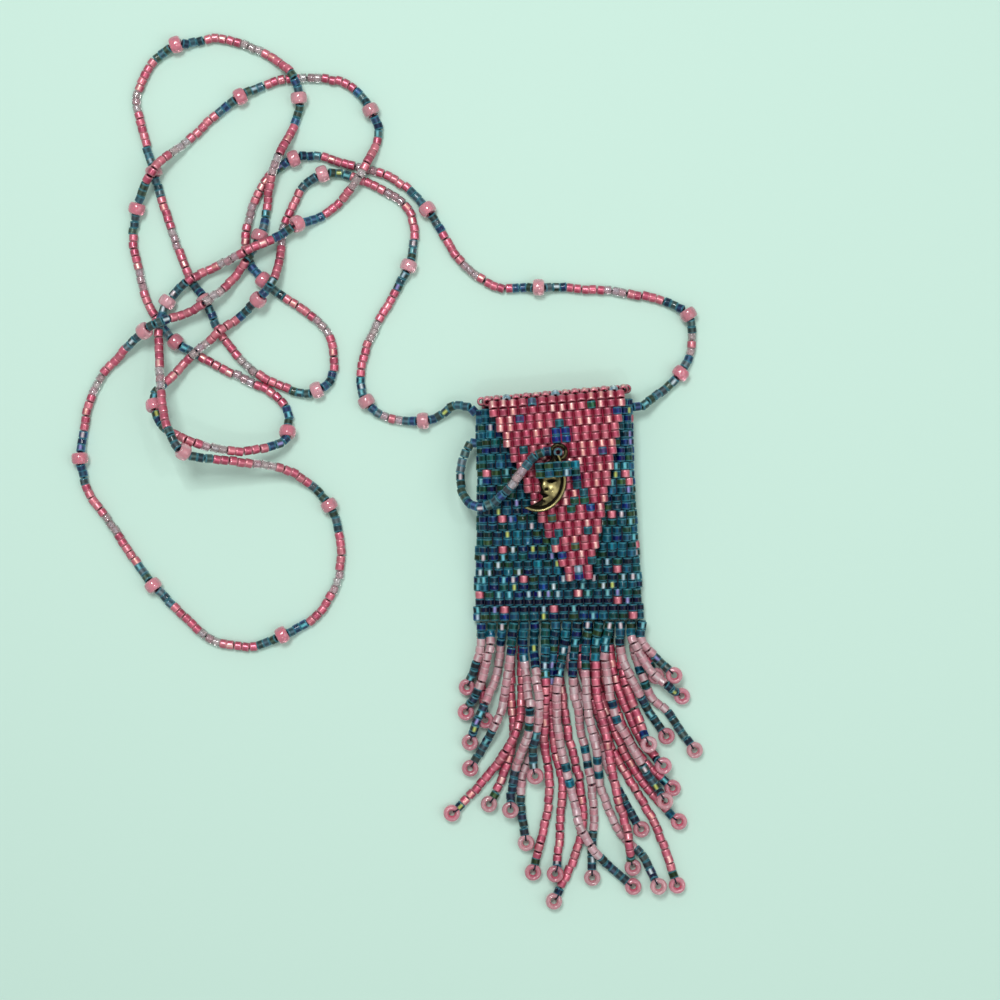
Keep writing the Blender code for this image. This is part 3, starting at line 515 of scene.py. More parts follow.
def large_bead():
    """A rounder bead, whose section is a full oval."""
    wide, hole = RING_BEAD_D / 2, RING_BEAD_HOLE / 2
    turns = np.arange(OVAL_STEPS) * 2 * math.pi / OVAL_STEPS
    across, up = (np.copysign(abs(v) ** OVAL_FULLNESS, v) for v in (np.cos(turns), np.sin(turns)))
    outline = np.column_stack([(wide + hole) / 2 + (wide - hole) / 2 * across, RING_BEAD_LONG / 2 * up])
    inner = across < INNER_SHARE
    return turned_shape(outline, inner & np.roll(inner, -1), LARGE_SIDES)


SMALL_BEAD = small_bead()
LARGE_BEAD = large_bead()

# Colours of each kind of bead, one of which is drawn for each bead
KINDS = {
    "teal": ((8, 76, 100), (8, 62, 132), (16, 92, 88), (36, 88, 66), (10, 34, 104), (40, 104, 138),
             (20, 122, 146), (6, 48, 84), (14, 96, 124), (58, 90, 52)),
    "dusk": ((92, 124, 138), (66, 108, 146), (100, 130, 128), (84, 108, 92), (62, 92, 140),
             (118, 138, 146), (80, 120, 134)),
    "dark": ((64, 80, 96), (48, 62, 84), (78, 98, 106), (58, 68, 100), (82, 100, 96)),
    "rose": ((194, 86, 110), (202, 96, 118), (182, 74, 100), (206, 110, 126)),
    "wine": ((172, 64, 88), (182, 74, 96), (160, 54, 80), (186, 86, 104)),
    "pale": ((244, 186, 196), (236, 172, 184), (250, 202, 210)),
    "clear": ((255, 236, 238), (255, 226, 232), (255, 244, 244)),
    "milk": ((252, 176, 190), (250, 162, 180), (255, 192, 202)),
}
# The glass of the kinds that aren't named after theirs
GLASS_OF = {"dusk": "teal", "dark": "teal", "wine": "rose"}
NAMED = {"blue": (34, 60, 142), "teal": (40, 104, 116), "green": (44, 104, 74), "grey": (92, 116, 140),
         "purple": (92, 74, 132), "olive": (100, 108, 66), "white": (196, 214, 232),
         "pink": (204, 104, 122), "shaded_row_navy": (10, 34, 104)}
# Streaks of light along a bead's top: their colours, and how often a bead has one
GLINTS = {
    "teal": ((208, 220, 116), (222, 240, 246), (190, 222, 236), (160, 156, 222), (120, 214, 226),
             (130, 206, 214), (236, 220, 226)),
    "rose": ((240, 178, 164), (250, 206, 194)), "pale": ((255, 238, 240), (255, 250, 250)),
    "clear": ((255, 246, 248), (240, 246, 255)),
}
GLINT_SHARE = {"teal": 0.17, "rose": 0.12, "pale": 0.55, "clear": 0.5}
FLAP_GLINTS = 0.30
BOTTOM_GLINTS = 0.40
GLINT_TURN = math.pi / 12
GLINT_LONG = 0.9
# Painted light and shade round a bead: brightness at its top, either side of it, lower, at its side and
# beneath
LIGHT_AND_SHADE_TURNS = (0, math.pi / 6, math.pi / 3, math.pi / 2, math.pi)
ROUND_LIGHT_AND_SHADE = {"teal": (1.05, 0.32, 0.75, 2.0, 1.0), "pale": (1.15, 0.85, 0.90, 0.90, 1.0),
                "rose": (1.30, 1.05, 0.70, 0.38, 0.38), "clear": (1.0, 0.85, 0.95, 1.1, 1.0),
                "milk": (1.0, 1.0, 1.0, 1.0, 1.0)}
# Spread of the painted highlight on a teal bead's top, drawn for each bead
TEAL_TOP_HIGHLIGHT_RANGE = (0.5, 1.5)
# How much faster red, green and blue darken than the painted light and shade round a bead, so that its
# painted shade turns a deeper red and its painted highlight paler
DEEPENS = {"rose": (0.7, 1.9, 1.4)}
# Least and most brightness of a bead beside its colour
SHADE_RANGE = {"teal": (0.35, 1.15)}
PLAIN_RANGE = (0.86, 1.14)
WIDTH_RANGE = (0.96, 1.0)
# Twist of a bead about its axis, mean and spread, which turns the top of its painted light and shade upward
TWIST = (-math.pi / 2, 0.12)
# Tilt and sideways drift of beads in the weave and on a string
WOVEN = (0.025, 0.00002)
STRUNG = (0.055, 0.00006)


def srgb(red, green, blue):
    """A colour written in 0 to 255, as the linear values that a shader takes."""
    shares = [v / 255 for v in (red, green, blue)]
    return tuple(s / 12.92 if s <= 0.04045 else ((s + 0.055) / 1.055) ** 2.4 for s in shares)


class Beads:
    """A list of beads: centre, axis, shape and its size, glass, colour, painted light and shade, glint and
    twist.
    """

    def __init__(self, tilt, drift):
        self.rows, self.tilt, self.drift = [], tilt, drift

    def add(self, centre, axis, glass, colour, shape=SMALL_BEAD, shade=None, glints=None, long=BEAD_LONG):
        if shade is None:
            shade = chance.uniform(*SHADE_RANGE.get(glass, PLAIN_RANGE))
        tint = np.minimum(np.array(srgb(*colour)) * shade, 1)
        light_and_shade = np.array(ROUND_LIGHT_AND_SHADE[glass])
        if glass == "teal":
            light_and_shade[0] *= chance.uniform(*TEAL_TOP_HIGHLIGHT_RANGE)
        share = GLINT_SHARE.get(glass, 0) if glints is None else glints
        glint = None
        if chance.random() < share:
            glint = srgb(*GLINTS[glass][chance.integers(len(GLINTS[glass]))])
        axis = unit(np.array(axis)) + chance.normal(0, self.tilt, 3)
        centre = np.array(centre) + chance.normal(0, self.drift, 3) * (1, 1, 0)
        wide = chance.uniform(*WIDTH_RANGE)
        size = (wide, wide, long / BEAD_LONG) if shape is SMALL_BEAD else (1, 1, 1)
        self.rows.append((centre, axis, shape, size, glass, tint, light_and_shade, glint, chance.normal(*TWIST)))

    def add_kind(self, centre, axis, kind, shape=SMALL_BEAD, glints=None, long=BEAD_LONG):
        """A bead whose exact colour is drawn from its kind's few colours."""
        colour = KINDS[kind][chance.integers(len(KINDS[kind]))]
        self.add(centre, axis, GLASS_OF.get(kind, kind), colour, shape, None, glints, long)


# Materials
class Shading:
    """A material's nodes, each filled with values or joined to the outputs of others."""

    def __init__(self, name):
        self.material = bpy.data.materials.new(name)
        self.material.use_nodes = True
        self.tree = self.material.node_tree
        self.shader = self.tree.nodes["Principled BSDF"]

    def fill(self, node, inputs):
        for name, value in inputs.items():
            if isinstance(value, bpy.types.NodeSocket):
                self.tree.links.new(value, node.inputs[name])
            else:
                node.inputs[name].default_value = value

    def add(self, kind, output, inputs, **settings):
        """The named output of a new node."""
        node = self.tree.nodes.new("ShaderNode" + kind)
        for name, value in settings.items():
            setattr(node, name, value)
        self.fill(node, inputs)
        return node.outputs[output]

    def painted(self, name, output="Fac"):
        """The values painted on the mesh by this name."""
        return self.add("Attribute", output, {}, attribute_name=name)

    def noise(self, scale, detail=2.0):
        place = self.add("TexCoord", "Object", {})
        return self.add("TexNoise", "Fac", {"Vector": place, "Scale": scale, "Detail": detail})

    def spread(self, share, low, high):
        return self.add("MapRange", "Result", {"Value": share, "To Min": low, "To Max": high})

    def bump(self, height, strength, distance):
        return self.add("Bump", "Normal", {"Height": height, "Strength": strength, "Distance": distance})

    def ramp(self, share, *stops):
        """A colour for each share, between two stops of position and colour."""
        colour = self.add("ValToRGB", "Color", {"Fac": share})
        for element, (position, stop) in zip(colour.node.color_ramp.elements, stops):
            element.position, element.color = position, (*stop, 1)
        return colour


# Roughness, transmission, coat, brightness of the painted rim light, unevenness, drift of hue, metal and
# index
GLASSES = {
    "teal": (0.07, 0.10, 0.0, 0.62, 0.45, 0.06, 0.0, 1.36),
    "rose": (0.30, 0.0, 0.35, 0.16, 0.16, 0.0, 0.45, 1.5),
    "pale": (0.06, 0.50, 0.5, 0.55, 0.12, 0.01, 0.0, 1.5),
    "clear": (0.03, 0.90, 1.0, 0.40, 0.06, 0.0, 0.0, 1.5),
    "milk": (0.06, 0.55, 1.0, 0.10, 0.10, 0.01, 0.0, 1.5),
}
GLASS_GRAIN = 1500.0
GLASS_BUMP = (0.12, 0.0001)
COAT_ROUGHNESS = 0.06
# Colours of the painted light in the beads' rims: teal's, and the one for all other glass
RIM_LIGHT_COLOURS = {"teal": (0.06, 0.30, 0.38, 1)}
PALE_RIM_LIGHT = (1, 0.82, 0.84, 1)
# Darkest and brightest share of the bead's colour on the wall of its hole: the darker lining is painted
# shade in the hole, the brighter one painted light coming through it
LININGS = {"shaded_lining": (0.10, 0.70), "lit_lining": (0.70, 1.05)}
LIT_LINED = ("pale", "clear", "milk")
LINING_GRAIN = 2500.0
LINING_SATURATION = 1.3
LINING_ROUGHNESS = 0.35
THREAD_GRAIN = 4000.0
THREAD_SHADES = (0.5, 1.5)
THREAD_ROUGHNESS = 0.8
# Colour of the thread, also used as painted shade on the pouch's skin that shows between its beads
THREAD_AND_GAP_SHADE_COLOUR = (16, 22, 40)
# Painted light: the red glow between the flap's rose beads, on the sheet behind them
ROSE_GAP_LIGHT_COLOUR = (158, 16, 62)
# Material slots; the thread slot also carries the pouch's painted-shade skin, and on the flap the sheet of
# painted red light
SLOTS = (*GLASSES, *LININGS, "thread")


def glass_material(name, roughness, transmission, coat, glow, mottle, drift, metallic, index):
    """Glass coloured bead by bead, a little uneven inside, and with painted light in its rims."""
    made = Shading(name)
    noise = made.noise(GLASS_GRAIN)
    own = made.add("HueSaturation", "Color", {
        "Color": made.painted("tint", "Color"), "Value": made.spread(noise, 1 - mottle, 1 + mottle),
        "Hue": made.spread(noise, 0.5 - drift, 0.5 + drift)})
    # Painted rim light: the colour mixed toward a lighter rim colour by the painted rim share
    share = made.add("Math", "Value", {0: made.painted("rim"), 1: glow}, operation="MULTIPLY")
    mixed = made.add("Mix", "Result", {"Factor": share, "A": own, "B": RIM_LIGHT_COLOURS.get(name, PALE_RIM_LIGHT)},
                     data_type="RGBA")
    made.fill(made.shader, {
        "Base Color": mixed, "Normal": made.bump(noise, *GLASS_BUMP), "Roughness": roughness,
        "Transmission Weight": transmission, "Metallic": metallic, "IOR": index,
        "Coat Weight": coat, "Coat Roughness": COAT_ROUGHNESS})
    return made.material


def lining_material(name, darkest, brightest):
    """The bead's colour on the wall of its hole, made darker as painted shade in one material and brighter
    as painted light coming through in the other.
    """
    made = Shading(name)
    value = made.spread(made.noise(LINING_GRAIN), darkest, brightest)
    deep = made.add("HueSaturation", "Color", {
        "Color": made.painted("tint", "Color"), "Value": value, "Saturation": LINING_SATURATION})
    made.fill(made.shader, {"Base Color": deep, "Roughness": LINING_ROUGHNESS})
    return made.material


def thread_material(name, colour):
    made = Shading(name)
    dim, bright = ([share * c for c in srgb(*colour)] for share in THREAD_SHADES)
    ramp = made.ramp(made.noise(THREAD_GRAIN), (0, dim), (1, bright))
    made.fill(made.shader, {"Base Color": ramp, "Roughness": THREAD_ROUGHNESS})
    return made.material


def make_materials():
    """One for each of the slots."""
    return [*(glass_material(name, *values) for name, values in GLASSES.items()),
            *(lining_material(name, *values) for name, values in LININGS.items()),
            thread_material("thread", THREAD_AND_GAP_SHADE_COLOUR)]


# Meshes
THREAD_R = 0.00018
THREAD_SIDES = 6
THREAD_TINT = (0.1, 0.1, 0.1, 1.0)
NEAR_UPRIGHT = 0.95


def axes_of(axis, twist):
    """The turn that takes a bead's own Z to the axis, with a twist about it."""
    axis = unit(axis)
    side = unit(np.cross(axis, (0, 0, 1.0) if abs(axis[2]) < NEAR_UPRIGHT else (0, 1.0, 0)))
    third = np.cross(axis, side)
    c, s = math.cos(twist), math.sin(twist)
    return np.column_stack([c * side + s * third, c * third - s * side, axis])


def band(rings, closed=True):
    """The points and faces of a skin over rings of as many points each."""
    count = len(rings[0])
    faces = [(start + k, start + (k + 1) % count, start + count + (k + 1) % count, start + count + k)
             for start in range(0, (len(rings) - 1) * count, count)
             for k in range(count if closed else count - 1)]
    return np.vstack(rings), np.array(faces)


def thread_tube(path, radius=THREAD_R):
    """An open tube along a path."""
    rings = []
    for place, head in zip(path, np.gradient(path, axis=0)):
        side, third, _ = axes_of(head, 0.0).T
        rings.append([place + radius * (math.cos(a) * side + math.sin(a) * third)
                      for a in np.arange(THREAD_SIDES) * 2 * math.pi / THREAD_SIDES])
    return band(rings)


def bead_parts(centre, axis, shape, size, glass, tint, light_and_shade, glint, twist):
    """One bead's points, faces, slots, colours with painted light, shade and glint, and shares of painted
    rim light.
    """
    points, faces, lining = shape
    lined = "lit_lining" if glass in LIT_LINED else "shaded_lining"
    slots = np.where(lining, SLOTS.index(lined), SLOTS.index(glass))
    turned = abs(np.arctan2(points[:, 1], points[:, 0]))
    high = abs(points[:, 2])
    half = high.max()
    # Painted light and shade round the bead, by turn from its top
    colours = tint * np.interp(turned, LIGHT_AND_SHADE_TURNS, light_and_shade)[:, None] ** DEEPENS.get(glass, (1, 1, 1))
    # A painted highlight streak along the bead's top
    if glint:
        colours[(turned < GLINT_TURN) & (high < GLINT_LONG * half)] = glint
    # Painted rim light: brighter toward the bead's ends and its outer side
    wide = np.hypot(points[:, 0], points[:, 1])
    outward = (wide - wide.min()) / (wide.max() - wide.min())
    rim_light = np.clip((high - half + BEAD_RIM) / (BEAD_RIM - BEAD_EDGE), 0, 1) * outward
    colours = np.column_stack([np.clip(colours, 0, 1), np.ones(len(points))])
    return centre + (points * size) @ axes_of(axis, twist).T, faces, slots, colours, rim_light


def paint(mesh, name, values):
    """Colours or single values at the mesh's points, for its material to read by this name."""
    values = np.asarray(values, np.float32)
    kind, field = ("FLOAT_COLOR", "color") if values.ndim == 2 else ("FLOAT", "value")
    mesh.attributes.new(name, kind, "POINT").data.foreach_set(field, values.ravel())


def bead_piece(name, beads, materials, *threads):
    """One mesh of all the beads, with their colours, and what lies among them: threads, the pouch's
    painted-shade skin and the flap's painted-light sheet.
    """
    parts = [bead_parts(*row) for row in beads.rows]
    parts += [(points, faces, np.full(len(faces), SLOTS.index("thread")),
               np.tile(THREAD_TINT, (len(points), 1)), np.zeros(len(points))) for points, faces in threads]
    starts = np.cumsum([0] + [len(part[0]) for part in parts[:-1]])
    faces = np.vstack([part[1] + start for part, start in zip(parts, starts)])
    points, _, slots, tints, rim_light = (np.concatenate(values) for values in zip(*parts))
    mesh = bpy.data.meshes.new(name)
    mesh.from_pydata(points.tolist(), [], faces.tolist())
    mesh.polygons.foreach_set("material_index", slots.astype(np.int32))
    mesh.polygons.foreach_set("use_smooth", np.ones(len(faces), bool))
    for made in materials:
        mesh.materials.append(made)
    paint(mesh, "tint", tints)
    # The share of painted rim light, read by the glass materials
    paint(mesh, "rim", rim_light)
    return in_scene(name, mesh)


def settle(piece, node):
    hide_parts(node)
    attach(piece, "root")


# Strings of beads
BEAD_FILL = (0.93, 0.98)
LARGE_REACH = 0.0008


def string_beads(beads, path, kinds, start, stop):
    """Evenly spaced beads along a stretch of the path, one for each kind."""
    pitch = (stop - start) / len(kinds)
    ends = [at_length(path, along) for along in np.linspace(start, stop, len(kinds) + 1)]
    for kind, behind, ahead in zip(kinds, ends, ends[1:]):
        long = pitch * chance.uniform(*BEAD_FILL)
        beads.add_kind((ahead + behind) / 2, ahead - behind, kind, long=long)


def string_piece(name, beads, materials, path):
    """The beads of a string, with a thread through every second sample of its path."""
    return bead_piece(name, beads, materials, thread_tube(np.vstack([path[:-1:2], path[-1:]])))


def lead_in(end):
    """Where a string touches the pouch's side wall, in line with its end."""
    y = min(end[1], POUCH_TOP_Y - ROW_PITCH)
    sides = [np.array(section_point(y, walls * WALL)) for walls in (0.5, 1.5)]
    edge = min(sides, key=lambda side: np.linalg.norm(side - end))
    return edge + unit(end - edge) * BEAD_D / 2


# Neck strand
REPEAT = ["dusk"] * 3 + ["rose"] * 5 + ["clear"] * 3 + ["rose"] * 5 + ["dusk"] * 3
END_PART = ["dusk"] * 2 + ["clear", "rose", "clear"] + ["dusk"] * 2
END_BEADS = ["dusk"] * 7


def make_neck(materials):
    samples = neck_plan()
    plan, number = samples[:, :2], samples[:, 2]
    rank = np.zeros(len(plan))
    for start, value in NECK_RANKS:
        rank[number >= start] = value
    low = np.full(len(plan), BEAD_D / 2)
    low[0], low[-1] = NECK_END_RISE, NECK_END_RISE
    along = lengths_along(plan)
    marks = np.interp(np.arange(1, len(NECK_ROWS)), number, along)
    strand = Strand(plan, rank, low)
    near = abs(along[:, None] - marks).min(axis=1) < RING_BEAD_LONG / 2 + RULING / 2
    strand.radius = np.where(near, RING_BEAD_D / 2, BEAD_D / 2)
    strand.low = np.maximum(low, strand.radius)
    path = np.column_stack([plan, laid_heights([strand])[0]])
    path = np.vstack([lead_in(path[0]), path, lead_in(path[-1])])
    number = np.concatenate([[number[0] - 1], number, [number[-1] + 1]])
    along = lengths_along(path)
    marks = np.interp(np.arange(1, len(NECK_ROWS)), number, along)
    starts = [0, *(marks + RING_BEAD_LONG / 2)]
    stops = [*(marks - RING_BEAD_LONG / 2), along[-1]]
    beads = Beads(*STRUNG)
    for k, (start, stop) in enumerate(zip(starts, stops)):
        kinds = {0: END_BEADS, 1: END_PART}.get(min(k, len(marks) - k), REPEAT)
        string_beads(beads, path, kinds, start, stop)
    for mark in marks:
        behind, ahead = at_length(path, mark - LARGE_REACH), at_length(path, mark + LARGE_REACH)
        beads.add_kind((ahead + behind) / 2, ahead - behind, "milk", LARGE_BEAD)
    piece = string_piece("neck_strand_beads", beads, materials, path)
    settle(piece, "necklace_strand")


# Leash
LEASH_KINDS = ["dusk"] * 16 + ["clear"] * 3 + ["dusk"] * 4


def make_leash(materials):
    path = smooth_route([spot(px, py, mm / 1000) for px, py, mm in LEASH_ROUTE], RULING)
    path = np.vstack([lead_in(path[0]), path])
    length = float(lengths_along(path)[-1])
    beads = Beads(*STRUNG)
    string_beads(beads, path, LEASH_KINDS, 0, length)
    matrix, height, _ = charm_frame()
    beads.add_kind(spot(*LOOP_PX, height), np.array(matrix)[:3, 2], "dark")
    piece = string_piece("leash_beads", beads, materials, path)
    settle(piece, "charm_leash")


# Fringe: teal beads at each column's top, and the columns of rose front and of pale back strands
TEAL_TOPS = (2, 2, 3, 4, 5, 6, 7, 8, 7, 7, 6, 5, 4, 3, 2, 2)
BACK_TOP = 3
ROSE_FRONTS = (7, 8, 12)
PALE_BACKS = (7, 9, 15)
FRINGE_PITCH = 0.0014
FRINGE_END_GAP = 0.0001
LONG_STRAND = 14
SHORT_END = 3
LONG_END = 5
MARK = ["teal", "pale", "teal"]
MARKED_STRETCH = 11
# The thread over an end bead: distance from the bead's middle and height, in order
END_THREAD = ((0.00155, 0), (0.00120, 0.00108), (0.00065, 0.00108), (0.00042, 0.00054), (0.00035, -0.00054))
END_THREAD_R = 0.00014


def fringe_kinds(front, column, count):
    """The kinds of glass down one fringe strand."""
    top = TEAL_TOPS[column - 1] if front else min(TEAL_TOPS[column - 1], BACK_TOP)
    if column in ROSE_FRONTS if front else column not in PALE_BACKS:
        return (["teal"] * top + ["rose"] * count)[:count - 1] + ["teal"]
    end = SHORT_END if count < LONG_STRAND else LONG_END
    middle = ["pale"] * max(count - top - end, 0)
    if len(middle) >= MARKED_STRETCH:
        at = len(middle) // 2 - 1
        middle[at:at + len(MARK)] = MARK
    return (["teal"] * top + middle + ["dark"] * end)[:count]


def make_end_ring(name, middle, end, materials):
    """The round bead at a strand's end, hole up, with the thread that holds it."""
    beads = Beads(*WOVEN)
    beads.add_kind(middle, (0, 0, 1), "milk", LARGE_BEAD)
    loop = [middle + out * unit(end - middle) + (0, 0, up) for out, up in END_THREAD]
    ring = bead_piece(name + "_ring", beads, materials, thread_tube(loop, END_THREAD_R))
    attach(ring, "root")
    return ring


def make_fringe(materials):
    strands = fringe_strands()
    heights = laid_heights([strand for _, strand, _ in strands])
    for (name, strand, centre), height in zip(strands, heights):
        count = len(height) - strand.ring
        path = np.column_stack([strand.plan, height])[:count]
        path[-1, 2] = height[-1]
        length = float(lengths_along(path)[-1])
        beads = Beads(*STRUNG)
        kinds = fringe_kinds("front" in name, int(name[-2:]), round(length / FRINGE_PITCH))
        string_beads(beads, path, kinds, 0, length - FRINGE_END_GAP)
        piece = string_piece(name + "_beads", beads, materials, path)
        settle(piece, name)
        ring = make_end_ring(name, np.array([*centre, height[-1]]), path[-1], materials)


# Pouch: the picture points of its rose beads, the rows with more glints, and the low rows darkened with
# painted shade
PINK_SPOTS = ((490, 475), (500, 520), (505, 551), (528, 581), (477, 591), (502, 613), (554, 611),
              (579, 595), (616, 602), (635, 617), (615, 571), (612, 515), (629, 422), (623, 475),
              (628, 482), (634, 544))
BRIGHT_ROWS = range(20, 25)
PAINTED_SHADE_ROWS = (25, 26)
PAINTED_ROW_SHADE = 0.25
# A dark skin inside the beads' row, painted shade that shows between them
CORE_SIDES = 68
CORE_RINGS = 29
CORE_MARGIN = 0.0003


def make_pouch(materials):
    places = []
    for row in range(2 * PAIR_ROWS):
        phase = 0.5 if (PAIR_ROWS - 1 - row // 2) % 2 == 0 else 0.0
        y = POUCH_TOP_Y - (row + 0.5) * ROW_PITCH
        for column in range(COLUMNS):
            above, below = (section_point(level, (column + phase) * COLUMN_PITCH)
                            for level in (y + ROW_PITCH / 2, y - ROW_PITCH / 2))
            places.append(((above + below) / 2, above - below))
    fronts = [i for i, (centre, _) in enumerate(places) if centre[2] > SEAM_THICKNESS + BEAD_D / 4]
    pinks = {min(fronts, key=lambda i: np.linalg.norm(spot(*pink, places[i][0][2]) - places[i][0]))
             for pink in PINK_SPOTS}
    beads = Beads(*WOVEN)
    for i, (centre, axis) in enumerate(places):
        row = i // COLUMNS
        if i in pinks:
            beads.add(centre, axis, "rose", NAMED["pink"])
        elif row in PAINTED_SHADE_ROWS:
            # Painted shade: the low rows near the pouch's bottom are darkened
            beads.add(centre, axis, "teal", NAMED["shaded_row_navy"], shade=PAINTED_ROW_SHADE)
        else:
            beads.add_kind(centre, axis, "teal", glints=BOTTOM_GLINTS if row in BRIGHT_ROWS else None)
    around = np.arange(CORE_SIDES) * 2 * WALL / CORE_SIDES
    gap_shade_skin = band([[section_point(y, along) for along in around] for y in
                 np.linspace(POUCH_TOP_Y - CORE_MARGIN, POUCH_BOTTOM_Y + CORE_MARGIN, CORE_RINGS)])
    piece = bead_piece("pouch_beads", beads, materials, gap_shade_skin)
    settle(piece, "pouch_body")


# Flap: where its beads of other colours are, as row, upper or lower bead, and bead from the left
FLAP_SPOTS = {
    "white": ((2, 1, 2), (2, 1, 7), (2, 1, 13), (14, 0, 1)), "grey": ((3, 0, 4),),
    "green": ((3, 1, 10), (9, 1, 5), (9, 1, 4), (10, 0, 3)), "purple": ((4, 0, 2), (6, 1, 9)),
    "blue": ((4, 0, 12), (5, 0, 5), (5, 1, 5), (5, 0, 6), (5, 1, 6), (8, 0, 5), (10, 0, 5), (13, 0, 0),
             (14, 1, 1)),
    "teal": ((4, 1, 6), (6, 0, 1), (8, 1, 5), (9, 0, 5), (11, 1, 1), (11, 1, 4), (12, 0, 0), (13, 1, 3)),
    "olive": ((10, 1, 1), (12, 1, 2)),
}
# How far inside each pair of rows the flap's sheet of painted red light begins and ends
SHEET_MARGIN = 0.0002


def make_flap(materials):
    profile = flap_profile()
    marks = {place: name for name, places in FLAP_SPOTS.items() for place in places}
    beads, gap_light_sheet = Beads(*WOVEN), []
    for row, count in enumerate(FLAP_ROWS):
        shift = FLAP_DRIFT * row
        for half in (0, 1):
            y, z, normal_y, normal_z = flap_frame(profile, (row * 2 + half + 0.5) * ROW_PITCH)
            for k in range(count):
                x = (k + 0.5 - count / 2) * FLAP_PITCH + shift
                centre = turned_flap(x, y, z)
                axis = turned_flap(x, y - normal_z, z + normal_y) - centre
                if (row, half, k) in marks:
                    colour = NAMED[marks[row, half, k]]
                    beads.add(centre, axis, "teal", colour, shade=1.0, glints=0)
                else:
                    beads.add_kind(centre, axis, "wine", glints=FLAP_GLINTS)
        reach = (count * FLAP_PITCH - BEAD_D) / 2
        for along in (row * PAIR + SHEET_MARGIN, (row + 1) * PAIR - SHEET_MARGIN):
            y, z = at_length(profile, along)
            gap_light_sheet.append([turned_flap(side * reach + shift, y, z) for side in (-1, 1)])
    # Painted light: the sheet between the flap's beads is red like the light among them
    gap_light = thread_material("rose_gap_light", ROSE_GAP_LIGHT_COLOUR)
    piece = bead_piece("flap_beads", beads, materials[:-1] + [gap_light], band(gap_light_sheet, closed=False))
    settle(piece, "flap")


# Keeper
def make_keeper(materials):
    matrix, height, slope = charm_frame()
    middle = spot(*KEEPER_PX, height)
    foot = front_surface(middle[1]) + 2 * CLEARANCE + BEAD_D
    past_charm = middle[1] + math.copysign(ROW_PITCH, slope) - matrix.translation.y
    crown = height + slope * past_charm + CHARM_THICK / 2 + 2 * CLEARANCE
    turn = Matrix.Translation((middle[0], middle[1], 0)) @ Matrix.Rotation(KEEPER_TURN, 4, "Z")
    beads = Beads(*WOVEN)
    for row in (-0.5, 0.5):
        for k in range(KEEPER_BEADS):
            share = (k + 0.5) / KEEPER_BEADS
            arch = (crown - foot) * min(1.0, KEEPER_FULLNESS * math.sin(math.pi * share))
            x = (2 * share - 1) * KEEPER_BEADS * KEEPER_PITCH / 2
            centre = turn @ Vector((x, row * ROW_PITCH, foot + arch + KEEPER_THICK / 2))
            beads.add_kind(centre, turn.to_3x3() @ Vector((0, 1, 0)), "teal")
    piece = bead_piece("keeper_beads", beads, materials)
    settle(piece, "charm_keeper")


# Moon charm
BRASS_GRAIN = 1400.0
BRASS_DETAIL = 4.0
BRASS_DARK = (26, 23, 17)
BRASS_BRIGHT = (170, 160, 110)
# Where the wear turns from dark to bright, and the roughness of both
BRASS_STOPS = (0.50, 0.84)
BRASS_ROUGHNESS = (0.62, 0.26)
BRASS_BUMP = (0.25, 0.00005)
GRAIN_SHARE = 0.35


def brass_material():
    """Cast brass: dark in its hollows, bright on its high places, and a little pitted."""
    made = Shading("aged_brass")
    noise = made.noise(BRASS_GRAIN, BRASS_DETAIL)
    worn = made.add("Math", "Value", {0: noise, 1: GRAIN_SHARE, 2: made.painted("relief")},
                    operation="MULTIPLY_ADD")
    colours = srgb(*BRASS_DARK), srgb(*BRASS_BRIGHT)
    made.fill(made.shader, {
        "Base Color": made.ramp(worn, *zip(BRASS_STOPS, colours)), "Metallic": 1.0,
        "Roughness": made.spread(worn, *BRASS_ROUGHNESS), "Normal": made.bump(noise, *BRASS_BUMP)})
    return made.material


# Relief of a plain moon face: picture point, then spread along X and Y and height in mm
RELIEF = (
    (551.0, 477.0, 0.55, 0.20, 0.18), (551.5, 480.8, 0.55, 0.18, -0.34), (544.0, 485.5, 0.35, 0.60, 0.20),
    (546.5, 489.0, 0.28, 0.22, -0.30), (552.0, 490.0, 0.85, 0.85, 0.20), (544.5, 495.5, 0.50, 0.18, -0.34),
    (543.5, 498.6, 0.40, 0.20, 0.16), (556.0, 469.0, 0.70, 0.25, -0.22), (548.0, 468.0, 0.40, 0.25, -0.24),
)
# The raised rim along the outer edge, the groove beside it, and the swell of the face
RIM_WIDE = 0.00055
RIM_HIGH = 0.00030
RIM_MIDDLE = 0.55 * RIM_WIDE
RIM_FULLNESS = 0.6
GROOVE_MIDDLE = 1.45 * RIM_WIDE
GROOVE_WIDE = 0.00016
FACE_HIGH = 0.00016
FACE_EASE = 0.0008
PLATE_DROP = 0.0004
# The grid of the relief's points, in rows
GRID_STEP = 0.00014
GRID_ROW = 0.00012
GRID_GAP = 0.00008
CDT_CLOSE = 1e-7
# The relief value of the back and the loop, beside a full relief
BACK_RELIEF = 0.45
LOOP_RELIEF = 0.34
LOOP_SEGMENTS = (40, 14)


def distance_to(points, line):
    """How far each point is from the nearest point of a line."""
    return np.hypot(points[:, None, 0] - line[:, 0], points[:, None, 1] - line[:, 1]).min(axis=1)


def moon_plate(outer, inner):
    """The points and triangles of the flat crescent between its two edges."""
    edge = np.vstack([outer, inner])
    low, high = edge.min(0), edge.max(0)
    grid = np.array([(x + (j % 2) * GRID_STEP / 2, y)
                     for j, y in enumerate(np.arange(low[1], high[1], GRID_ROW))
                     for x in np.arange(low[0], high[0], GRID_STEP)])
    grid = grid[distance_to(grid, edge) > GRID_GAP]
    count = len(edge)
    rim = [(i, (i + 1) % count) for i in range(count)]
    found = delaunay_2d_cdt([Vector(p) for p in np.vstack([edge, grid])], rim, [list(range(count))],
                            1, CDT_CLOSE)
    return np.array([tuple(p) for p in found[0]]), found[2]


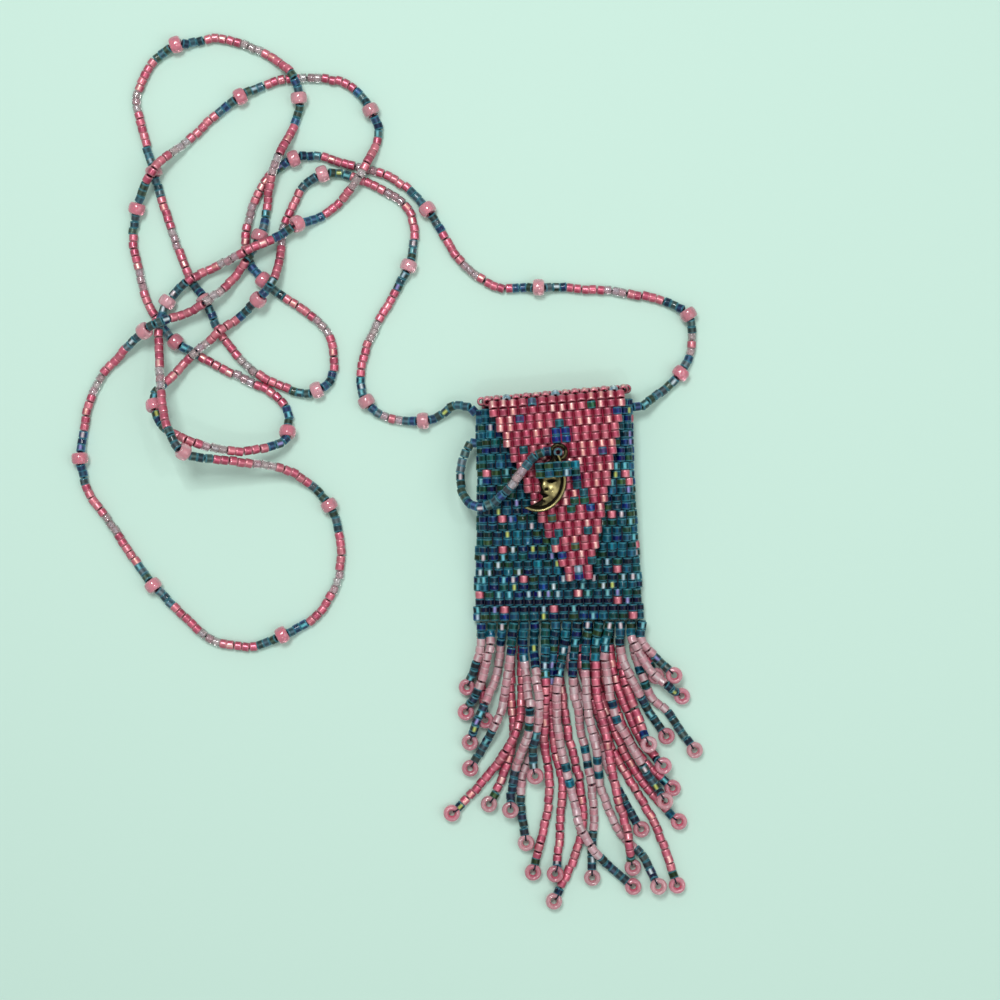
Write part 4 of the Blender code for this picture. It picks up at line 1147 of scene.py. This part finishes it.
def make_charm():
    matrix, height, _ = charm_frame()
    to_plate = matrix.inverted()

    def flat(px, py):
        return tuple((to_plate @ Vector(spot(px, py, height)))[:2])

    outer, inner = (smooth_route([flat(*p) for p in edge], GRID_ROW) for edge in (CHARM_OUTER, CHARM_INNER))
    plate, triangles = moon_plate(outer, inner)
    count = len(plate)
    to_outer = distance_to(plate, outer)
    rim = np.clip(1 - abs(to_outer - RIM_MIDDLE) / (RIM_WIDE / 2), 0, 1)
    groove = np.exp(-((to_outer - GROOVE_MIDDLE) / GROOVE_WIDE) ** 2)
    face = np.clip(distance_to(plate, np.vstack([outer, inner])) / FACE_EASE, 0, 1)
    tops = FACE_HIGH * np.sqrt(face) + RIM_HIGH * rim ** RIM_FULLNESS - FACE_HIGH * groove
    for px, py, *sizes in RELIEF:
        wide, tall, rise = (size / 1000 for size in sizes)
        aside, ahead = (plate - flat(px, py)).T
        tops += rise * np.exp(-(aside / wide) ** 2 - (ahead / tall) ** 2)
    up = np.column_stack([plate, CHARM_THICK / 2 - PLATE_DROP + tops])
    down = np.column_stack([plate, np.full(count, -CHARM_THICK / 2)])
    faces = [tuple(t) for t in triangles] + [tuple(i + count for i in reversed(t)) for t in triangles]
    sides = dict.fromkeys((a, b) for t in triangles for a, b in zip(t, (*t[1:], t[0])))
    faces += [(b, a, a + count, b + count) for a, b in sides if (b, a) not in sides]
    mesh = bpy.data.meshes.new("moon_relief")
    mesh.from_pydata(np.vstack([up, down]).tolist(), [], faces)
    paint(mesh, "relief", np.append(np.clip(tops / PLATE_DROP, 0, 1), np.full(count, BACK_RELIEF)))
    mesh.polygons.foreach_set("use_smooth", [len(face) == 3 for face in faces])
    piece = in_scene("moon_charm_relief", mesh)
    piece.matrix_world = matrix
    bpy.ops.mesh.primitive_torus_add(major_segments=LOOP_SEGMENTS[0], minor_segments=LOOP_SEGMENTS[1],
                                     major_radius=LOOP_R, minor_radius=LOOP_TUBE)
    ring = bpy.context.object
    ring.name = "moon_charm_ring"
    ring.data.polygons.foreach_set("use_smooth", np.ones(len(ring.data.polygons), bool))
    paint(ring.data, "relief", np.full(len(ring.data.vertices), LOOP_RELIEF))
    ring.matrix_world = matrix @ Matrix.Translation((*flat(*LOOP_PX), 0))
    brass = brass_material()
    for made in (piece, ring):
        made.data.materials.append(brass)
        settle(made, "moon_charm")
    return piece


def main():
    make_camera()
    materials = make_materials()
    charm = make_charm()
    make_neck(materials)
    make_leash(materials)
    make_fringe(materials)
    make_pouch(materials)
    make_flap(materials)
    make_keeper(materials)
    make_stage()


main()
